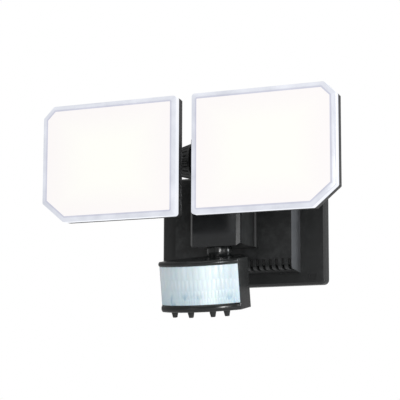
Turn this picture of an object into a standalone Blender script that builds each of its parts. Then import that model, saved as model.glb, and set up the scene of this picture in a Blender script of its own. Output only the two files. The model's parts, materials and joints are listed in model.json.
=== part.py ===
"""Twin-head LED floodlight with a motion sensor, for a wall.

Metres, +Z up, the front faces -Y. The origin is the centre of the wall plate's back, in the wall's own
plane, and X = 0 is the plane that the two lamp heads mirror each other in.
"""

import math

import bmesh
import bpy
from mathutils import Matrix, Vector

# ---- shared clearances and walls -------------------------------------------------------------------
TOUCH_GAP = 0.0003          # between pieces that rest on each other
RUNNING_GAP = 0.0005        # between pieces that turn on each other
SCREW_GAP = 0.0004          # round a screw in its hole
SEAM_STEP = 0.0003          # how far a joined shape stays inside the one it joins
ROUND_STEPS = 20            # sides of a turned piece
SMALL_STEPS = 12            # sides of a screw or pin
CUT_OVER = 0.002            # how far a cutter runs past the wall that it opens
SCREW_HEAD_HEIGHT = 0.0022
SCREW_TIP_SHARE = 0.6       # radius left at a screw's tip and on top of its head
SCREW_RIM_SHARE = 0.55      # height of a screw head's upright rim

# ---- wall canopy -----------------------------------------------------------------------------------
PLATE_WIDTH = 0.187
PLATE_HEIGHT = 0.121
PLATE_DEPTH = 0.0137        # wall to the plate's front face
PLATE_CORNER = 0.005
PLATE_LEAST_CORNER = 0.0015
PLATE_CHAMFER = 0.0021
PLATE_WALL = 0.0026
GASKET_THICKNESS = 0.0016
GASKET_WIDTH = 0.0034
GASKET_INSET = 0.0008
DRIVER_BAY_WIDTH = 0.132    # the raised vented bay in front of the plate
DRIVER_BAY_DEPTH = 0.0402   # wall to the bay's front face
BAY_BOTTOM = -0.0458        # height of the bay's underside at its front
BAY_BOTTOM_FALL = 0.0022    # how much lower its underside ends at the plate
BAY_TOP_MARGIN = 0.0115
BAY_EDGE_RADIUS = 0.005
BAY_INNER_EDGE_SHARE = 0.6  # how much of a wall the inner edge's radius is smaller by
BAY_EDGE_STEPS = 6
BAY_JOIN_SHARE = 0.7        # how much of the plate's wall the bay starts inside
BAY_WALL = 0.0025
VENT_PITCH = 0.00705
VENT_WIDTH = 0.0030
VENT_TOP = -0.0352
VENT_COUNT = 19
VENT_UNDER_RUN = 0.0110     # bay front to the end of a vent under the bay
VENT_CUT_DEPTH = 0.003      # how far the vents' cutter runs past the bay's walls
KNOCKOUT_SIZE = (0.0076, 0.0060)
KNOCKOUT_EDGE = (0.0143, 0.0077)  # from the plate's side and bottom edges to the knockout's middle
KNOCKOUT_DEPTH = 0.0012

# ---- mounting bracket and its screws ---------------------------------------------------------------
BRACKET_THICKNESS = 0.0020
BRACKET_STRAP_HEIGHT = 0.020
BRACKET_STRAP_LENGTH = 0.104
BOX_SCREW_SPACING = 0.0889  # slots for a round junction box
BOX_SLOT_LENGTH = 0.014
BOX_SLOT_WIDTH = 0.0045
CANOPY_SCREW_X = 0.080
CANOPY_SCREW_Z = 0.046
BRACKET_CROSSPIECE_HALF = 0.0060
CANOPY_SCREW_RADIUS = 0.0020

# ---- electrics in the bay --------------------------------------------------------------------------
DRIVER_SIZE = (0.120, 0.021, 0.034)
DRIVER_CENTRE = (0.0, -0.0235)
BOARD_SIZE = (0.112, 0.0016, 0.036)
BOARD_CENTRE_Z = 0.026
BOARD_STANDOFF = 0.006
BOARD_NOTCH_GAP = 0.002     # round the wire hole behind the board
TERMINAL_SIZE = (0.026, 0.014, 0.012)
TERMINAL_CENTRE = (0.036, 0.0005)
TERMINAL_WAYS = 3
TERMINAL_WAY_RADIUS = 0.0028
DRIVER_SEAT_GAP = 0.0009    # driver to the bay's front wall, clear of the wall's rounded foot

# ---- column ----------------------------------------------------------------------------------------
COLUMN_WIDTH = 0.055
COLUMN_FRONT = 0.0891       # wall to the front cover's face
COLUMN_BOTTOM = -0.0229
COLUMN_TOP = 0.088
COLUMN_WALL = 0.0025
COLUMN_FLANGE = 0.0080      # thickness of the foot against the bay
COLUMN_FLANGE_LIP = 0.0016
COVER_DEPTH = 0.0071
COVER_CHAMFER = 0.0032
COVER_DROP = 0.0028         # how far the cover's face hangs below the column
COVER_WALL = 0.0022
COVER_LEDGE = 0.001         # from the cover's hollow to the start of its chamfer
COVER_SCREW_HEAD = 0.0020
COVER_SCREW_GRIP = 0.006    # how far a cover screw runs behind the cover
COVER_SCREW_X = 0.016
COVER_SCREW_Z = 0.078
FOOT_SCREW_X = 0.017
FOOT_SCREW_Z = 0.034
WIRE_HOLE_RADIUS = 0.008
WIRE_HOLE_Z = 0.010

# ---- lamp arms -------------------------------------------------------------------------------------
ARM_PORT_Y = -0.0685
ARM_PORT_Z = 0.0678
ARM_RADIUS = 0.0110
ARM_END_RADIUS = 0.0075
ARM_BORE_RADIUS = 0.0055
ARM_COLLAR_RADIUS = 0.0130
ARM_COLLAR_LENGTH = 0.0040
ARM_BEND_RADIUS = 0.0150
ARM_STRAIGHT = 0.0120       # from the lock nut to the arm's first bend
ARM_LAST_BEND = (0.0115, 0.0140)    # the arm's last bend, beside and behind the pan axis
ARM_BORE_PAST_NUT = 0.0040
LOCK_NUT_CHAMFER = 0.0006
PORT_SEAL_INSET = 0.003     # lock nut's rim to the seal's rim
LOCK_NUT_LENGTH = 0.0180
LOCK_NUT_BASE_RADIUS = 0.0204
LOCK_NUT_TIP_RADIUS = 0.0153
WASHER_THICKNESS = 0.0012

# ---- lamp heads ------------------------------------------------------------------------------------
HEAD_WIDTH = 0.1497
HEAD_HEIGHT = 0.1203
HEAD_GAP = 0.0172           # between the two heads
HEAD_CENTRE_Z = 0.057
HEAD_FACE = 0.16625         # wall to the lens's face
HEAD_TOP_CLIP = (0.0120, 0.0118)
HEAD_BOTTOM_CLIP = (0.0242, 0.0202)
HEAD_INNER_CLIP = 0.0018
HEAD_LEAST_CLIP = 0.15      # share of a clipped corner that stays, however far its outline is drawn in
LENS_BEVEL = (0.0035, 0.0015)    # width and fall of the lens's bevelled edge
LENS_SIDE = 0.0075          # depth of the lens's side wall
LENS_WALL = 0.0018
SHELL_SIDE = 0.0090         # straight side of the head's back shell
SHELL_SIDE_INSET = (0.0002, 0.0006)
SHELL_BACK_INSET = 0.0200
SHELL_TAPER = 0.0112        # from the straight side to the flat back
SHELL_WALL = 0.0025
FIN_HEIGHT = 0.0060
FIN_THICKNESS = 0.0020
FIN_PITCH = 0.0100
FIN_LENGTH = 0.064
FIN_FREE_HALF_WIDTH = 0.0140  # no fins this near the knuckle
FIN_END_MARGIN = 0.0040
FIN_END_SLOPE = 0.0040      # how much shorter a fin's tip is at each end
LED_BOARD_THICKNESS = 0.0016
LED_BOARD_INSET = 0.0020
SCREW_PAST_BOARD = 0.0020
DIFFUSER_THICKNESS = 0.0012
SEAL_SIZE = (0.0018, 0.0016)
HEAD_SCREW_MARGIN = 0.0180  # from the flat back's side edges
HEAD_SCREW_PAST_FIN = 0.0055

# ---- knuckle: the arm carries the pan pin, the head the tilt pin -----------------------------------
PAN_AXIS_Y = -0.0980
TILT_AXIS_Y = -0.1200
BARREL_RADIUS = 0.0085
BARREL_HEIGHT = 0.0180
KNUCKLE_EAR = 0.0050
KNUCKLE_WEB = 0.0045
TONGUE_WIDTH = 0.0100
TONGUE_RADIUS = 0.0070
PAN_PIN_RADIUS = 0.0028
TILT_PIN_RADIUS = 0.0024
HEAD_EAR = 0.0050
HEAD_EAR_RADIUS = 0.0075
EAR_SINK = 0.001            # how far the ears and fins start inside the shell's back wall
BOLT_HEAD_RADIUS = 0.0050
BOLT_HEAD_HEIGHT = 0.0030
NUT_RADIUS = 0.0050
NUT_HEIGHT = 0.0032
BOLT_PAST_NUT = 0.0010
BOLT_TIP_CHAMFER = 0.0006

# ---- sensor swivel ---------------------------------------------------------------------------------
SWIVEL_Y = -0.0750
SWIVEL_Z = -0.0290
BALL_RADIUS = 0.0132
SWIVEL_FLANGE_RADIUS = 0.0108
SWIVEL_FLANGE_THICKNESS = 0.0025
SWIVEL_NECK_RADIUS = 0.0076
SWIVEL_PIN_RADIUS = 0.0016
SWIVEL_PIN_LENGTH = 0.0180
STEM_WIDTH = 0.0078
STEM_RADIUS = 0.0044
STEM_TRAVEL = 0.0118        # half length of the slot that the stem swings in
BALL_SEAT_GAP = 0.0008

# ---- sensor head, in its own frame: the ball's centre is the origin, the front faces -Y ------------
SENSOR_PITCH_DEG = 10.45    # nose down
SENSOR_HALF_WIDTH = 0.0429
SENSOR_ARC_RISE = 0.0171    # how far the curved front stands before its ends
SENSOR_ARC_Y = -0.05555     # where the curved front's ends are
SENSOR_TOP = -0.0051
SENSOR_HEIGHT = 0.0505
SENSOR_BOTTOM_RIM = 0.0072
SENSOR_TOP_RIM = 0.0050
SENSOR_BEZEL_DEPTH = 0.0028
SENSOR_CHEEK = 0.0222
SENSOR_BACK_DEPTH = 0.0712  # bezel to the back
SENSOR_BACK_HALF_WIDTH = 0.0211
SENSOR_BACK_CORNER = 0.006
SENSOR_HEEL = (0.0340, 0.0220)   # length and rise of the bevel under the back
HEEL_CUT_SHARE = 0.2        # how far the bevel's cutter runs past the back, as a share of its length
HEEL_WALL_SHARE = 0.4       # how far the bevel's inner face is moved forwards, in walls
SENSOR_WALL = 0.0018
WINDOW_HALF_WIDTH = 0.0411
WINDOW_CORNER = 0.0030
SENSOR_LENS_THICKNESS = 0.0014
BALL_CUP_WALL = 0.0035
DETECTOR_RADIUS = 0.0046
DETECTOR_HEIGHT = 0.0042
DETECTOR_RIM = 0.0005
DETECTOR_CAN_RADIUS = 0.0041
SENSOR_BOARD_SIZE = (0.060, 0.0016, 0.034)
SENSOR_BOARD_BACK = 0.0120  # behind the arc's ends
KNOB_NAMES = ("duration_knob", "range_knob", "dusk_knob", "mode_knob")
KNOB_ANGLES_DEG = (-34.0, -9.0, 16.0, 31.0)   # round the front's curve
KNOB_INSET = 0.0090
KNOB_BASE_RADIUS = 0.0035
KNOB_TIP_RADIUS = 0.0025
KNOB_HEIGHT = 0.0057
KNOB_SHAFT_RADIUS = 0.0015
KNOB_SHAFT_LENGTH = 0.0060
KNOB_GRIP_GROOVE = 0.0008
KNOB_GRIP_DEPTH = 0.0012
KNOB_TIP_CHAMFER = 0.0004

# ---- finishes: colour, roughness, metallic ---------------------------------------------------------
FINISHES = {
    "black_housing": ((0.018, 0.018, 0.020), 0.38, 0.0),
    "black_cast": ((0.016, 0.016, 0.018), 0.42, 0.2),
    "lit_lens": ((0.95, 0.94, 0.91), 0.35, 0.0),
    "sensor_lens": ((0.86, 0.90, 0.94), 0.40, 0.0),
    "rubber_seal": ((0.03, 0.03, 0.03), 0.85, 0.0),
    "zinc_steel": ((0.62, 0.63, 0.65), 0.35, 1.0),
    "circuit_board": ((0.03, 0.20, 0.08), 0.50, 0.0),
    "white_plastic": ((0.85, 0.85, 0.83), 0.55, 0.0),
    "driver_case": ((0.55, 0.56, 0.58), 0.50, 0.6),
}


# ---- helpers ---------------------------------------------------------------------------------------
def clear_scene():
    for obj in list(bpy.data.objects):
        bpy.data.objects.remove(obj, do_unlink=True)


def finish_material(finish):
    material = bpy.data.materials.get(finish)
    if material is None:
        colour, roughness, metallic = FINISHES[finish]
        material = bpy.data.materials.new(finish)
        material.use_nodes = True
        shader = material.node_tree.nodes["Principled BSDF"]
        shader.inputs["Base Color"].default_value = (*colour, 1.0)
        shader.inputs["Roughness"].default_value = roughness
        shader.inputs["Metallic"].default_value = metallic
    return material


def add_object(name, bm, parent=None):
    """A new object from a bmesh, with its faces turned outwards."""
    bmesh.ops.recalc_face_normals(bm, faces=bm.faces)
    mesh = bpy.data.meshes.new(name)
    bm.to_mesh(mesh)
    bm.free()
    obj = bpy.data.objects.new(name, mesh)
    bpy.context.scene.collection.objects.link(obj)
    obj.parent = parent
    return obj


def dress(obj, finish, origin=None, parent=None):
    """Gives a finished piece its material, smooth round faces and, if it moves, its origin on its joint."""
    obj.data.materials.clear()
    obj.data.materials.append(finish_material(finish))
    obj.data.shade_smooth()
    obj.data.set_sharp_from_angle(angle=math.radians(32))
    if origin is not None:
        bpy.context.view_layer.update()
        obj.data.transform(Matrix.Translation(-Vector(origin)))
        obj.location = origin
    if parent is not None:
        obj.location = Vector(obj.location) - Vector(parent.location)
        obj.parent = parent
    return obj


def loft(name, sections, parent=None):
    """A closed solid through sections that all have the same number of points."""
    bm = bmesh.new()
    rings = [[bm.verts.new(point) for point in section] for section in sections]
    for first, second in zip(rings, rings[1:]):
        for i, vertex in enumerate(first):
            j = (i + 1) % len(first)
            bm.faces.new((vertex, first[j], second[j], second[i]))
    bm.faces.new(list(reversed(rings[0])))
    bm.faces.new(rings[-1])
    return add_object(name, bm, parent)


def prism(name, outline, axis, low, high, parent=None):
    """An outline extruded along an axis. The outline's two numbers are the other two axes, in order."""
    def lift(point, along):
        a, b = point
        return {"X": (along, a, b), "Y": (a, along, b), "Z": (a, b, along)}[axis]
    return loft(name, [[lift(p, low) for p in outline], [lift(p, high) for p in outline]], parent)


def box(name, low, high, parent=None):
    outline = [(low[0], low[1]), (high[0], low[1]), (high[0], high[1]), (low[0], high[1])]
    return prism(name, outline, "Z", low[2], high[2], parent)


def turned(name, profile, start, direction, steps=ROUND_STEPS, parent=None):
    """A solid of revolution. The profile is (distance along the axis, radius) from one end to the other."""
    turn = Vector((0, 0, 1)).rotation_difference(Vector(direction)).to_matrix().to_4x4()
    place = Matrix.Translation(Vector(start)) @ turn
    sections = []
    for along, radius in profile:
        ring = []
        for i in range(steps):
            angle = 2 * math.pi * (i + 0.5) / steps
            ring.append(place @ Vector((radius * math.cos(angle), radius * math.sin(angle), along)))
        sections.append(ring)
    return loft(name, sections, parent)


def cylinder(name, start, end, radius, steps=ROUND_STEPS, parent=None):
    direction = Vector(end) - Vector(start)
    return turned(name, [(0, radius), (direction.length, radius)], start, direction, steps, parent)


def ball(name, centre, radius, parent=None):
    bm = bmesh.new()
    bmesh.ops.create_uvsphere(bm, u_segments=ROUND_STEPS, v_segments=16, radius=radius)
    bmesh.ops.translate(bm, vec=Vector(centre), verts=bm.verts)
    return add_object(name, bm, parent)


def combine(target, operation, other):
    """A Boolean on the target, with the other object kept as a hidden helper."""
    other.hide_render = True
    other.display_type = "WIRE"
    modifier = target.modifiers.new(other.name, "BOOLEAN")
    modifier.operation = operation
    modifier.solver = "EXACT"
    modifier.object = other
    return target


def cut(target, other):
    return combine(target, "DIFFERENCE", other)


def join(target, other):
    return combine(target, "UNION", other)


def settle(obj):
    """Bakes an object's Booleans into its mesh and removes the helpers that made them."""
    bpy.context.view_layer.update()
    graph = bpy.context.evaluated_depsgraph_get()
    mesh = bpy.data.meshes.new_from_object(obj.evaluated_get(graph), depsgraph=graph)
    helpers = [modifier.object for modifier in obj.modifiers]
    obj.modifiers.clear()
    obj.data = mesh
    for helper in helpers:
        bpy.data.objects.remove(helper, do_unlink=True)
    return obj


def rounded_rectangle(half_width, half_height, radius, centre=(0.0, 0.0), steps=4):
    points = []
    for quarter, (sx, sy) in enumerate(((1, 1), (-1, 1), (-1, -1), (1, -1))):
        for i in range(steps + 1):
            angle = math.pi / 2 * (quarter + i / steps)
            points.append((
                centre[0] + sx * (half_width - radius) + radius * math.cos(angle),
                centre[1] + sy * (half_height - radius) + radius * math.sin(angle),
            ))
    return points


def capsule(centre, end, radius, steps=12):
    """An eye of the given radius round the centre, with a straight shank of the same width to the end."""
    angle = math.atan2(end[1] - centre[1], end[0] - centre[0])
    points = []
    for i in range(steps + 1):
        turn = angle + math.pi / 2 + math.pi * i / steps
        points.append((centre[0] + radius * math.cos(turn), centre[1] + radius * math.sin(turn)))
    side = (radius * math.sin(angle), -radius * math.cos(angle))
    points.append((end[0] + side[0], end[1] + side[1]))
    points.append((end[0] - side[0], end[1] - side[1]))
    return points


def filleted_path(corners, radius, steps=6):
    """A polyline with its inner corners rounded to the radius."""
    corners = [Vector(corner) for corner in corners]
    path = [corners[0]]
    for before, corner, after in zip(corners, corners[1:], corners[2:]):
        back = (before - corner).normalized()
        ahead = (after - corner).normalized()
        half = back.angle(ahead) / 2
        reach = radius / math.tan(half)
        centre = corner + (back + ahead).normalized() * (radius / math.sin(half))
        first = corner + back * reach - centre
        sweep = math.pi - 2 * half
        turn_axis = first.cross(corner + ahead * reach - centre).normalized()
        for i in range(steps + 1):
            path.append(centre + Matrix.Rotation(sweep * i / steps, 3, turn_axis) @ first)
    path.append(corners[-1])
    return path


def swept_tube(name, path, start_radius, end_radius, steps=ROUND_STEPS):
    """A round bar along a path, its radius running evenly from one end to the other."""
    lengths = [0.0]
    for a, b in zip(path, path[1:]):
        lengths.append(lengths[-1] + (b - a).length)
    tangent = (path[1] - path[0]).normalized()
    side = tangent.orthogonal().normalized()
    sections = []
    for i, point in enumerate(path):
        ahead = path[min(i + 1, len(path) - 1)] - path[max(i - 1, 0)]
        new_tangent = ahead.normalized()
        side = tangent.rotation_difference(new_tangent).to_matrix() @ side
        tangent = new_tangent
        radius = start_radius + (end_radius - start_radius) * lengths[i] / lengths[-1]
        ring = []
        for k in range(steps):
            ring.append(point + Matrix.Rotation(2 * math.pi * k / steps, 3, tangent) @ side * radius)
        sections.append(ring)
    return loft(name, sections)


def screw(name, tip, head_seat, radius, head_radius, head_height, parent=None):
    """A pan-head screw from its tip to its head."""
    direction = Vector(head_seat) - Vector(tip)
    length = direction.length
    profile = [
        (0.0, radius * SCREW_TIP_SHARE),
        (radius, radius),
        (length, radius),
        (length, head_radius),
        (length + head_height * SCREW_RIM_SHARE, head_radius),
        (length + head_height, head_radius * SCREW_TIP_SHARE),
    ]
    return turned(name, profile, tip, direction, SMALL_STEPS, parent)


# ---- wall canopy -----------------------------------------------------------------------------------
def plate_outline(amount):
    return rounded_rectangle(
        PLATE_WIDTH / 2 - amount, PLATE_HEIGHT / 2 - amount, max(PLATE_CORNER - amount, PLATE_LEAST_CORNER)
    )


def at_depth(outline, depth):
    """An outline in X and Z, placed this far in front of the wall."""
    return [(x, -depth, z) for x, z in outline]


def bay_profile(wall, front_wall, back):
    """The bay's side outline in Y and Z, moved inwards by the walls, and run back to a depth."""
    front = DRIVER_BAY_DEPTH - front_wall
    top = PLATE_HEIGHT / 2 - BAY_TOP_MARGIN - wall
    bottom = BAY_BOTTOM + wall
    radius = BAY_EDGE_RADIUS - wall * BAY_INNER_EDGE_SHARE
    slope = BAY_BOTTOM_FALL / (DRIVER_BAY_DEPTH - PLATE_DEPTH)
    points = [(-back, top), (-front, top)]
    for i in range(BAY_EDGE_STEPS + 1):
        angle = math.pi / 2 * i / BAY_EDGE_STEPS
        points.append((
            -front + radius * (1 - math.cos(angle)), bottom + radius * (1 - math.sin(angle))
        ))
    points.append((-back, bottom - slope * (front - back)))
    return points


def build_canopy():
    back = GASKET_THICKNESS + TOUCH_GAP
    canopy = loft("canopy", [
        at_depth(plate_outline(0.0), back),
        at_depth(plate_outline(0.0), PLATE_DEPTH - PLATE_CHAMFER),
        at_depth(plate_outline(PLATE_CHAMFER), PLATE_DEPTH),
    ])
    half_bay = DRIVER_BAY_WIDTH / 2
    overlap = PLATE_WALL * BAY_JOIN_SHARE
    bay = prism("bay_block", bay_profile(0.0, 0.0, PLATE_DEPTH - overlap), "X", -half_bay, half_bay)
    join(canopy, bay)
    cut(canopy, loft("plate_hollow", [
        at_depth(plate_outline(GASKET_WIDTH + GASKET_INSET), 0.0),
        at_depth(plate_outline(GASKET_WIDTH + GASKET_INSET), PLATE_DEPTH - PLATE_WALL),
    ]))
    hollow = half_bay - BAY_WALL
    hollow_back = PLATE_DEPTH - PLATE_WALL - CUT_OVER
    cut(canopy, prism("bay_hollow", bay_profile(BAY_WALL, BAY_WALL, hollow_back), "X", -hollow, hollow))
    cut(canopy, vent_cutter())
    edge_x = PLATE_WIDTH / 2 - KNOCKOUT_EDGE[0]
    edge_z = -PLATE_HEIGHT / 2 + KNOCKOUT_EDGE[1]
    half_x, half_z = (size / 2 for size in KNOCKOUT_SIZE)
    for side, label in ((-1, "left"), (1, "right")):
        low = (side * edge_x - half_x, -PLATE_DEPTH - CUT_OVER, edge_z - half_z)
        high = (side * edge_x + half_x, KNOCKOUT_DEPTH - PLATE_DEPTH, edge_z + half_z)
        cut(canopy, box(label + "_knockout", low, high))
        cut(canopy, cylinder(
            label + "_canopy_hole",
            (side * CANOPY_SCREW_X, -PLATE_DEPTH - CUT_OVER, CANOPY_SCREW_Z),
            (side * CANOPY_SCREW_X, -GASKET_THICKNESS, CANOPY_SCREW_Z),
            CANOPY_SCREW_RADIUS + SCREW_GAP, SMALL_STEPS,
        ))
    front = -DRIVER_BAY_DEPTH
    cut(canopy, cylinder(
        "canopy_wire_hole", (0, front - CUT_OVER, WIRE_HOLE_Z), (0, front + 2 * BAY_WALL, WIRE_HOLE_Z),
        WIRE_HOLE_RADIUS,
    ))
    for x, z in foot_screw_places():
        cut(canopy, cylinder(
            "foot_hole", (x, front - CUT_OVER, z), (x, front + 2 * BAY_WALL, z),
            CANOPY_SCREW_RADIUS + SCREW_GAP, SMALL_STEPS,
        ))
    dress(settle(canopy), "black_housing")


def vent_cutter():
    """All the vents: each runs down the bay's lower front and back under it."""
    fall = BAY_BOTTOM_FALL / (DRIVER_BAY_DEPTH - PLATE_DEPTH) * VENT_UNDER_RUN
    front = -DRIVER_BAY_DEPTH - CUT_OVER
    inner = -DRIVER_BAY_DEPTH + BAY_WALL + VENT_CUT_DEPTH
    vent_back = VENT_UNDER_RUN - DRIVER_BAY_DEPTH
    under = BAY_BOTTOM - CUT_OVER
    over = BAY_BOTTOM + BAY_WALL + VENT_CUT_DEPTH
    outline = [
        (front, VENT_TOP),
        (front, under),
        (vent_back, under - fall),
        (vent_back, over - fall),
        (inner, over),
        (inner, VENT_TOP),
    ]
    bm = bmesh.new()
    for k in range(VENT_COUNT):
        x = VENT_PITCH * (k - (VENT_COUNT - 1) / 2)
        rings = [
            [bm.verts.new((x + shift, y, z)) for y, z in outline]
            for shift in (-VENT_WIDTH / 2, VENT_WIDTH / 2)
        ]
        for i in range(len(outline)):
            j = (i + 1) % len(outline)
            bm.faces.new((rings[0][i], rings[0][j], rings[1][j], rings[1][i]))
        bm.faces.new(rings[0][::-1])
        bm.faces.new(rings[1])
    return add_object("vent_cutter", bm)


def build_gasket():
    outer = plate_outline(GASKET_INSET)
    inner = plate_outline(GASKET_INSET + GASKET_WIDTH)
    gasket = prism("wall_gasket", outer, "Y", -GASKET_THICKNESS, 0.0)
    cut(gasket, prism("gasket_opening", inner, "Y", -GASKET_THICKNESS * 2, GASKET_THICKNESS))
    dress(settle(gasket), "rubber_seal")


def build_bracket():
    """A stamped strap for the junction box, with a raised crosspiece that the canopy screws reach."""
    half = BRACKET_STRAP_LENGTH / 2
    rise = BRACKET_STRAP_HEIGHT / 2
    crosspiece = BRACKET_CROSSPIECE_HALF
    end = CANOPY_SCREW_X + crosspiece
    bracket = box("mounting_bracket", (-half, -BRACKET_THICKNESS, -rise), (half, 0.0, rise))
    join(bracket, box(
        "bracket_riser", (-rise, -BRACKET_THICKNESS, -rise / 2), (rise, 0.0, CANOPY_SCREW_Z)
    ))
    join(bracket, box(
        "bracket_crosspiece",
        (-end, -BRACKET_THICKNESS, CANOPY_SCREW_Z - crosspiece),
        (end, 0.0, CANOPY_SCREW_Z + crosspiece),
    ))
    for side in (-1, 1):
        slot = rounded_rectangle(
            BOX_SLOT_LENGTH / 2, BOX_SLOT_WIDTH / 2, BOX_SLOT_WIDTH / 2 - 0.0001,
            (side * BOX_SCREW_SPACING / 2, 0.0),
        )
        cut(bracket, prism("box_slot", slot, "Y", -2 * BRACKET_THICKNESS, BRACKET_THICKNESS))
        cut(bracket, cylinder(
            "tapped_hole", (side * CANOPY_SCREW_X, 0.002, CANOPY_SCREW_Z),
            (side * CANOPY_SCREW_X, -2 * BRACKET_THICKNESS, CANOPY_SCREW_Z),
            CANOPY_SCREW_RADIUS + TOUCH_GAP, SMALL_STEPS,
        ))
    dress(settle(bracket), "zinc_steel")


def build_canopy_screws():
    for side, label in ((-1, "left"), (1, "right")):
        x = side * CANOPY_SCREW_X
        fixing = screw(
            label + "_canopy_screw",
            (x, -TOUCH_GAP, CANOPY_SCREW_Z), (x, -PLATE_DEPTH - TOUCH_GAP, CANOPY_SCREW_Z),
            CANOPY_SCREW_RADIUS, 2 * CANOPY_SCREW_RADIUS, SCREW_HEAD_HEIGHT,
        )
        dress(fixing, "black_cast")


def block(name, size, centre, back_of):
    """A block of this size, centred on a place in X and Z, its front face at this Y."""
    width, depth, height = size
    x, z = centre
    return box(
        name, (x - width / 2, back_of, z - height / 2), (x + width / 2, back_of + depth, z + height / 2)
    )


def build_electrics():
    inner_front = -DRIVER_BAY_DEPTH + BAY_WALL + TOUCH_GAP
    driver = block("led_driver", DRIVER_SIZE, DRIVER_CENTRE, inner_front + DRIVER_SEAT_GAP)
    dress(driver, "driver_case")
    board_y = inner_front + BOARD_STANDOFF
    board = block("control_board", BOARD_SIZE, (0.0, BOARD_CENTRE_Z), board_y)
    cut(board, cylinder(
        "board_wire_notch", (0, board_y - CUT_OVER, WIRE_HOLE_Z),
        (0, board_y + BOARD_SIZE[1] + CUT_OVER, WIRE_HOLE_Z), WIRE_HOLE_RADIUS + BOARD_NOTCH_GAP,
    ))
    dress(settle(board), "circuit_board")
    terminals = block("terminal_block", TERMINAL_SIZE, TERMINAL_CENTRE, inner_front)
    width, depth, _ = TERMINAL_SIZE
    x, z = TERMINAL_CENTRE
    for k in range(TERMINAL_WAYS):
        way = x + (k - (TERMINAL_WAYS - 1) / 2) * width / TERMINAL_WAYS
        cut(terminals, cylinder(
            "wire_way", (way, inner_front + depth / 2, z), (way, inner_front + depth + CUT_OVER, z),
            TERMINAL_WAY_RADIUS, SMALL_STEPS,
        ))
    dress(settle(terminals), "white_plastic")


# ---- column ----------------------------------------------------------------------------------------
def foot_screw_places():
    return [(side * FOOT_SCREW_X, FOOT_SCREW_Z) for side in (-1, 1)]


def foot_section(spread, y):
    """The column's outline in X and Z, wider each side by the spread, at a place along Y."""
    half = COLUMN_WIDTH / 2 + spread
    bottom = COLUMN_BOTTOM + SEAM_STEP
    top = COLUMN_TOP - SEAM_STEP
    return [(-half, y, bottom), (half, y, bottom), (half, y, top), (-half, y, top)]


def build_column():
    half = COLUMN_WIDTH / 2
    foot_back = -DRIVER_BAY_DEPTH - TOUCH_GAP
    foot_front = foot_back - COLUMN_FLANGE
    body_front = -COLUMN_FRONT + COVER_DEPTH + TOUCH_GAP
    column = box("column_body", (-half, body_front, COLUMN_BOTTOM), (half, foot_back, COLUMN_TOP))
    lip = COLUMN_FLANGE_LIP
    join(column, loft("column_foot", [
        foot_section(-lip, foot_front),
        foot_section(lip, foot_front + 2 * lip),
        foot_section(lip, foot_back - SEAM_STEP),
    ]))
    inner = half - COLUMN_WALL
    cut(column, box(
        "column_hollow", (-inner, body_front - CUT_OVER, COLUMN_BOTTOM + COLUMN_WALL),
        (inner, foot_back - COLUMN_WALL, COLUMN_TOP - COLUMN_WALL),
    ))
    cut(column, cylinder(
        "arm_ports", (-half - CUT_OVER, ARM_PORT_Y, ARM_PORT_Z), (half + CUT_OVER, ARM_PORT_Y, ARM_PORT_Z),
        ARM_RADIUS + SCREW_GAP,
    ))
    hole = SWIVEL_NECK_RADIUS + RUNNING_GAP
    below = COLUMN_BOTTOM - CUT_OVER
    above = COLUMN_BOTTOM + COLUMN_WALL + CUT_OVER
    cut(column, cylinder("swivel_hole", (0, SWIVEL_Y, below), (0, SWIVEL_Y, above), hole))
    cut(column, box("swivel_entry", (-hole, body_front - CUT_OVER, below), (hole, SWIVEL_Y, above)))
    behind = foot_back + CUT_OVER
    before = foot_front - CUT_OVER
    cut(column, cylinder(
        "column_wire_hole", (0, behind, WIRE_HOLE_Z), (0, before, WIRE_HOLE_Z), WIRE_HOLE_RADIUS,
    ))
    for x, z in foot_screw_places():
        cut(column, cylinder(
            "foot_bore", (x, behind, z), (x, before, z),
            CANOPY_SCREW_RADIUS + SCREW_GAP, SMALL_STEPS,
        ))
    dress(settle(column), "black_housing")
    for label, (x, z) in zip(("left", "right"), foot_screw_places()):
        seat = -DRIVER_BAY_DEPTH + BAY_WALL + TOUCH_GAP
        fixing = screw(
            label + "_column_screw", (x, foot_back - COLUMN_WALL - CUT_OVER, z), (x, seat, z),
            CANOPY_SCREW_RADIUS, 2 * CANOPY_SCREW_RADIUS, SCREW_HEAD_HEIGHT,
        )
        dress(fixing, "zinc_steel")


def cover_section(amount, depth, drop):
    """The cover's outline in X and Z, moved inwards at the sides and top, its bottom hanging by the drop."""
    half = COLUMN_WIDTH / 2 - amount
    top = COLUMN_TOP - amount
    bottom = COLUMN_BOTTOM - drop
    return [(-half, -depth, bottom), (half, -depth, bottom), (half, -depth, top), (-half, -depth, top)]


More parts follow.
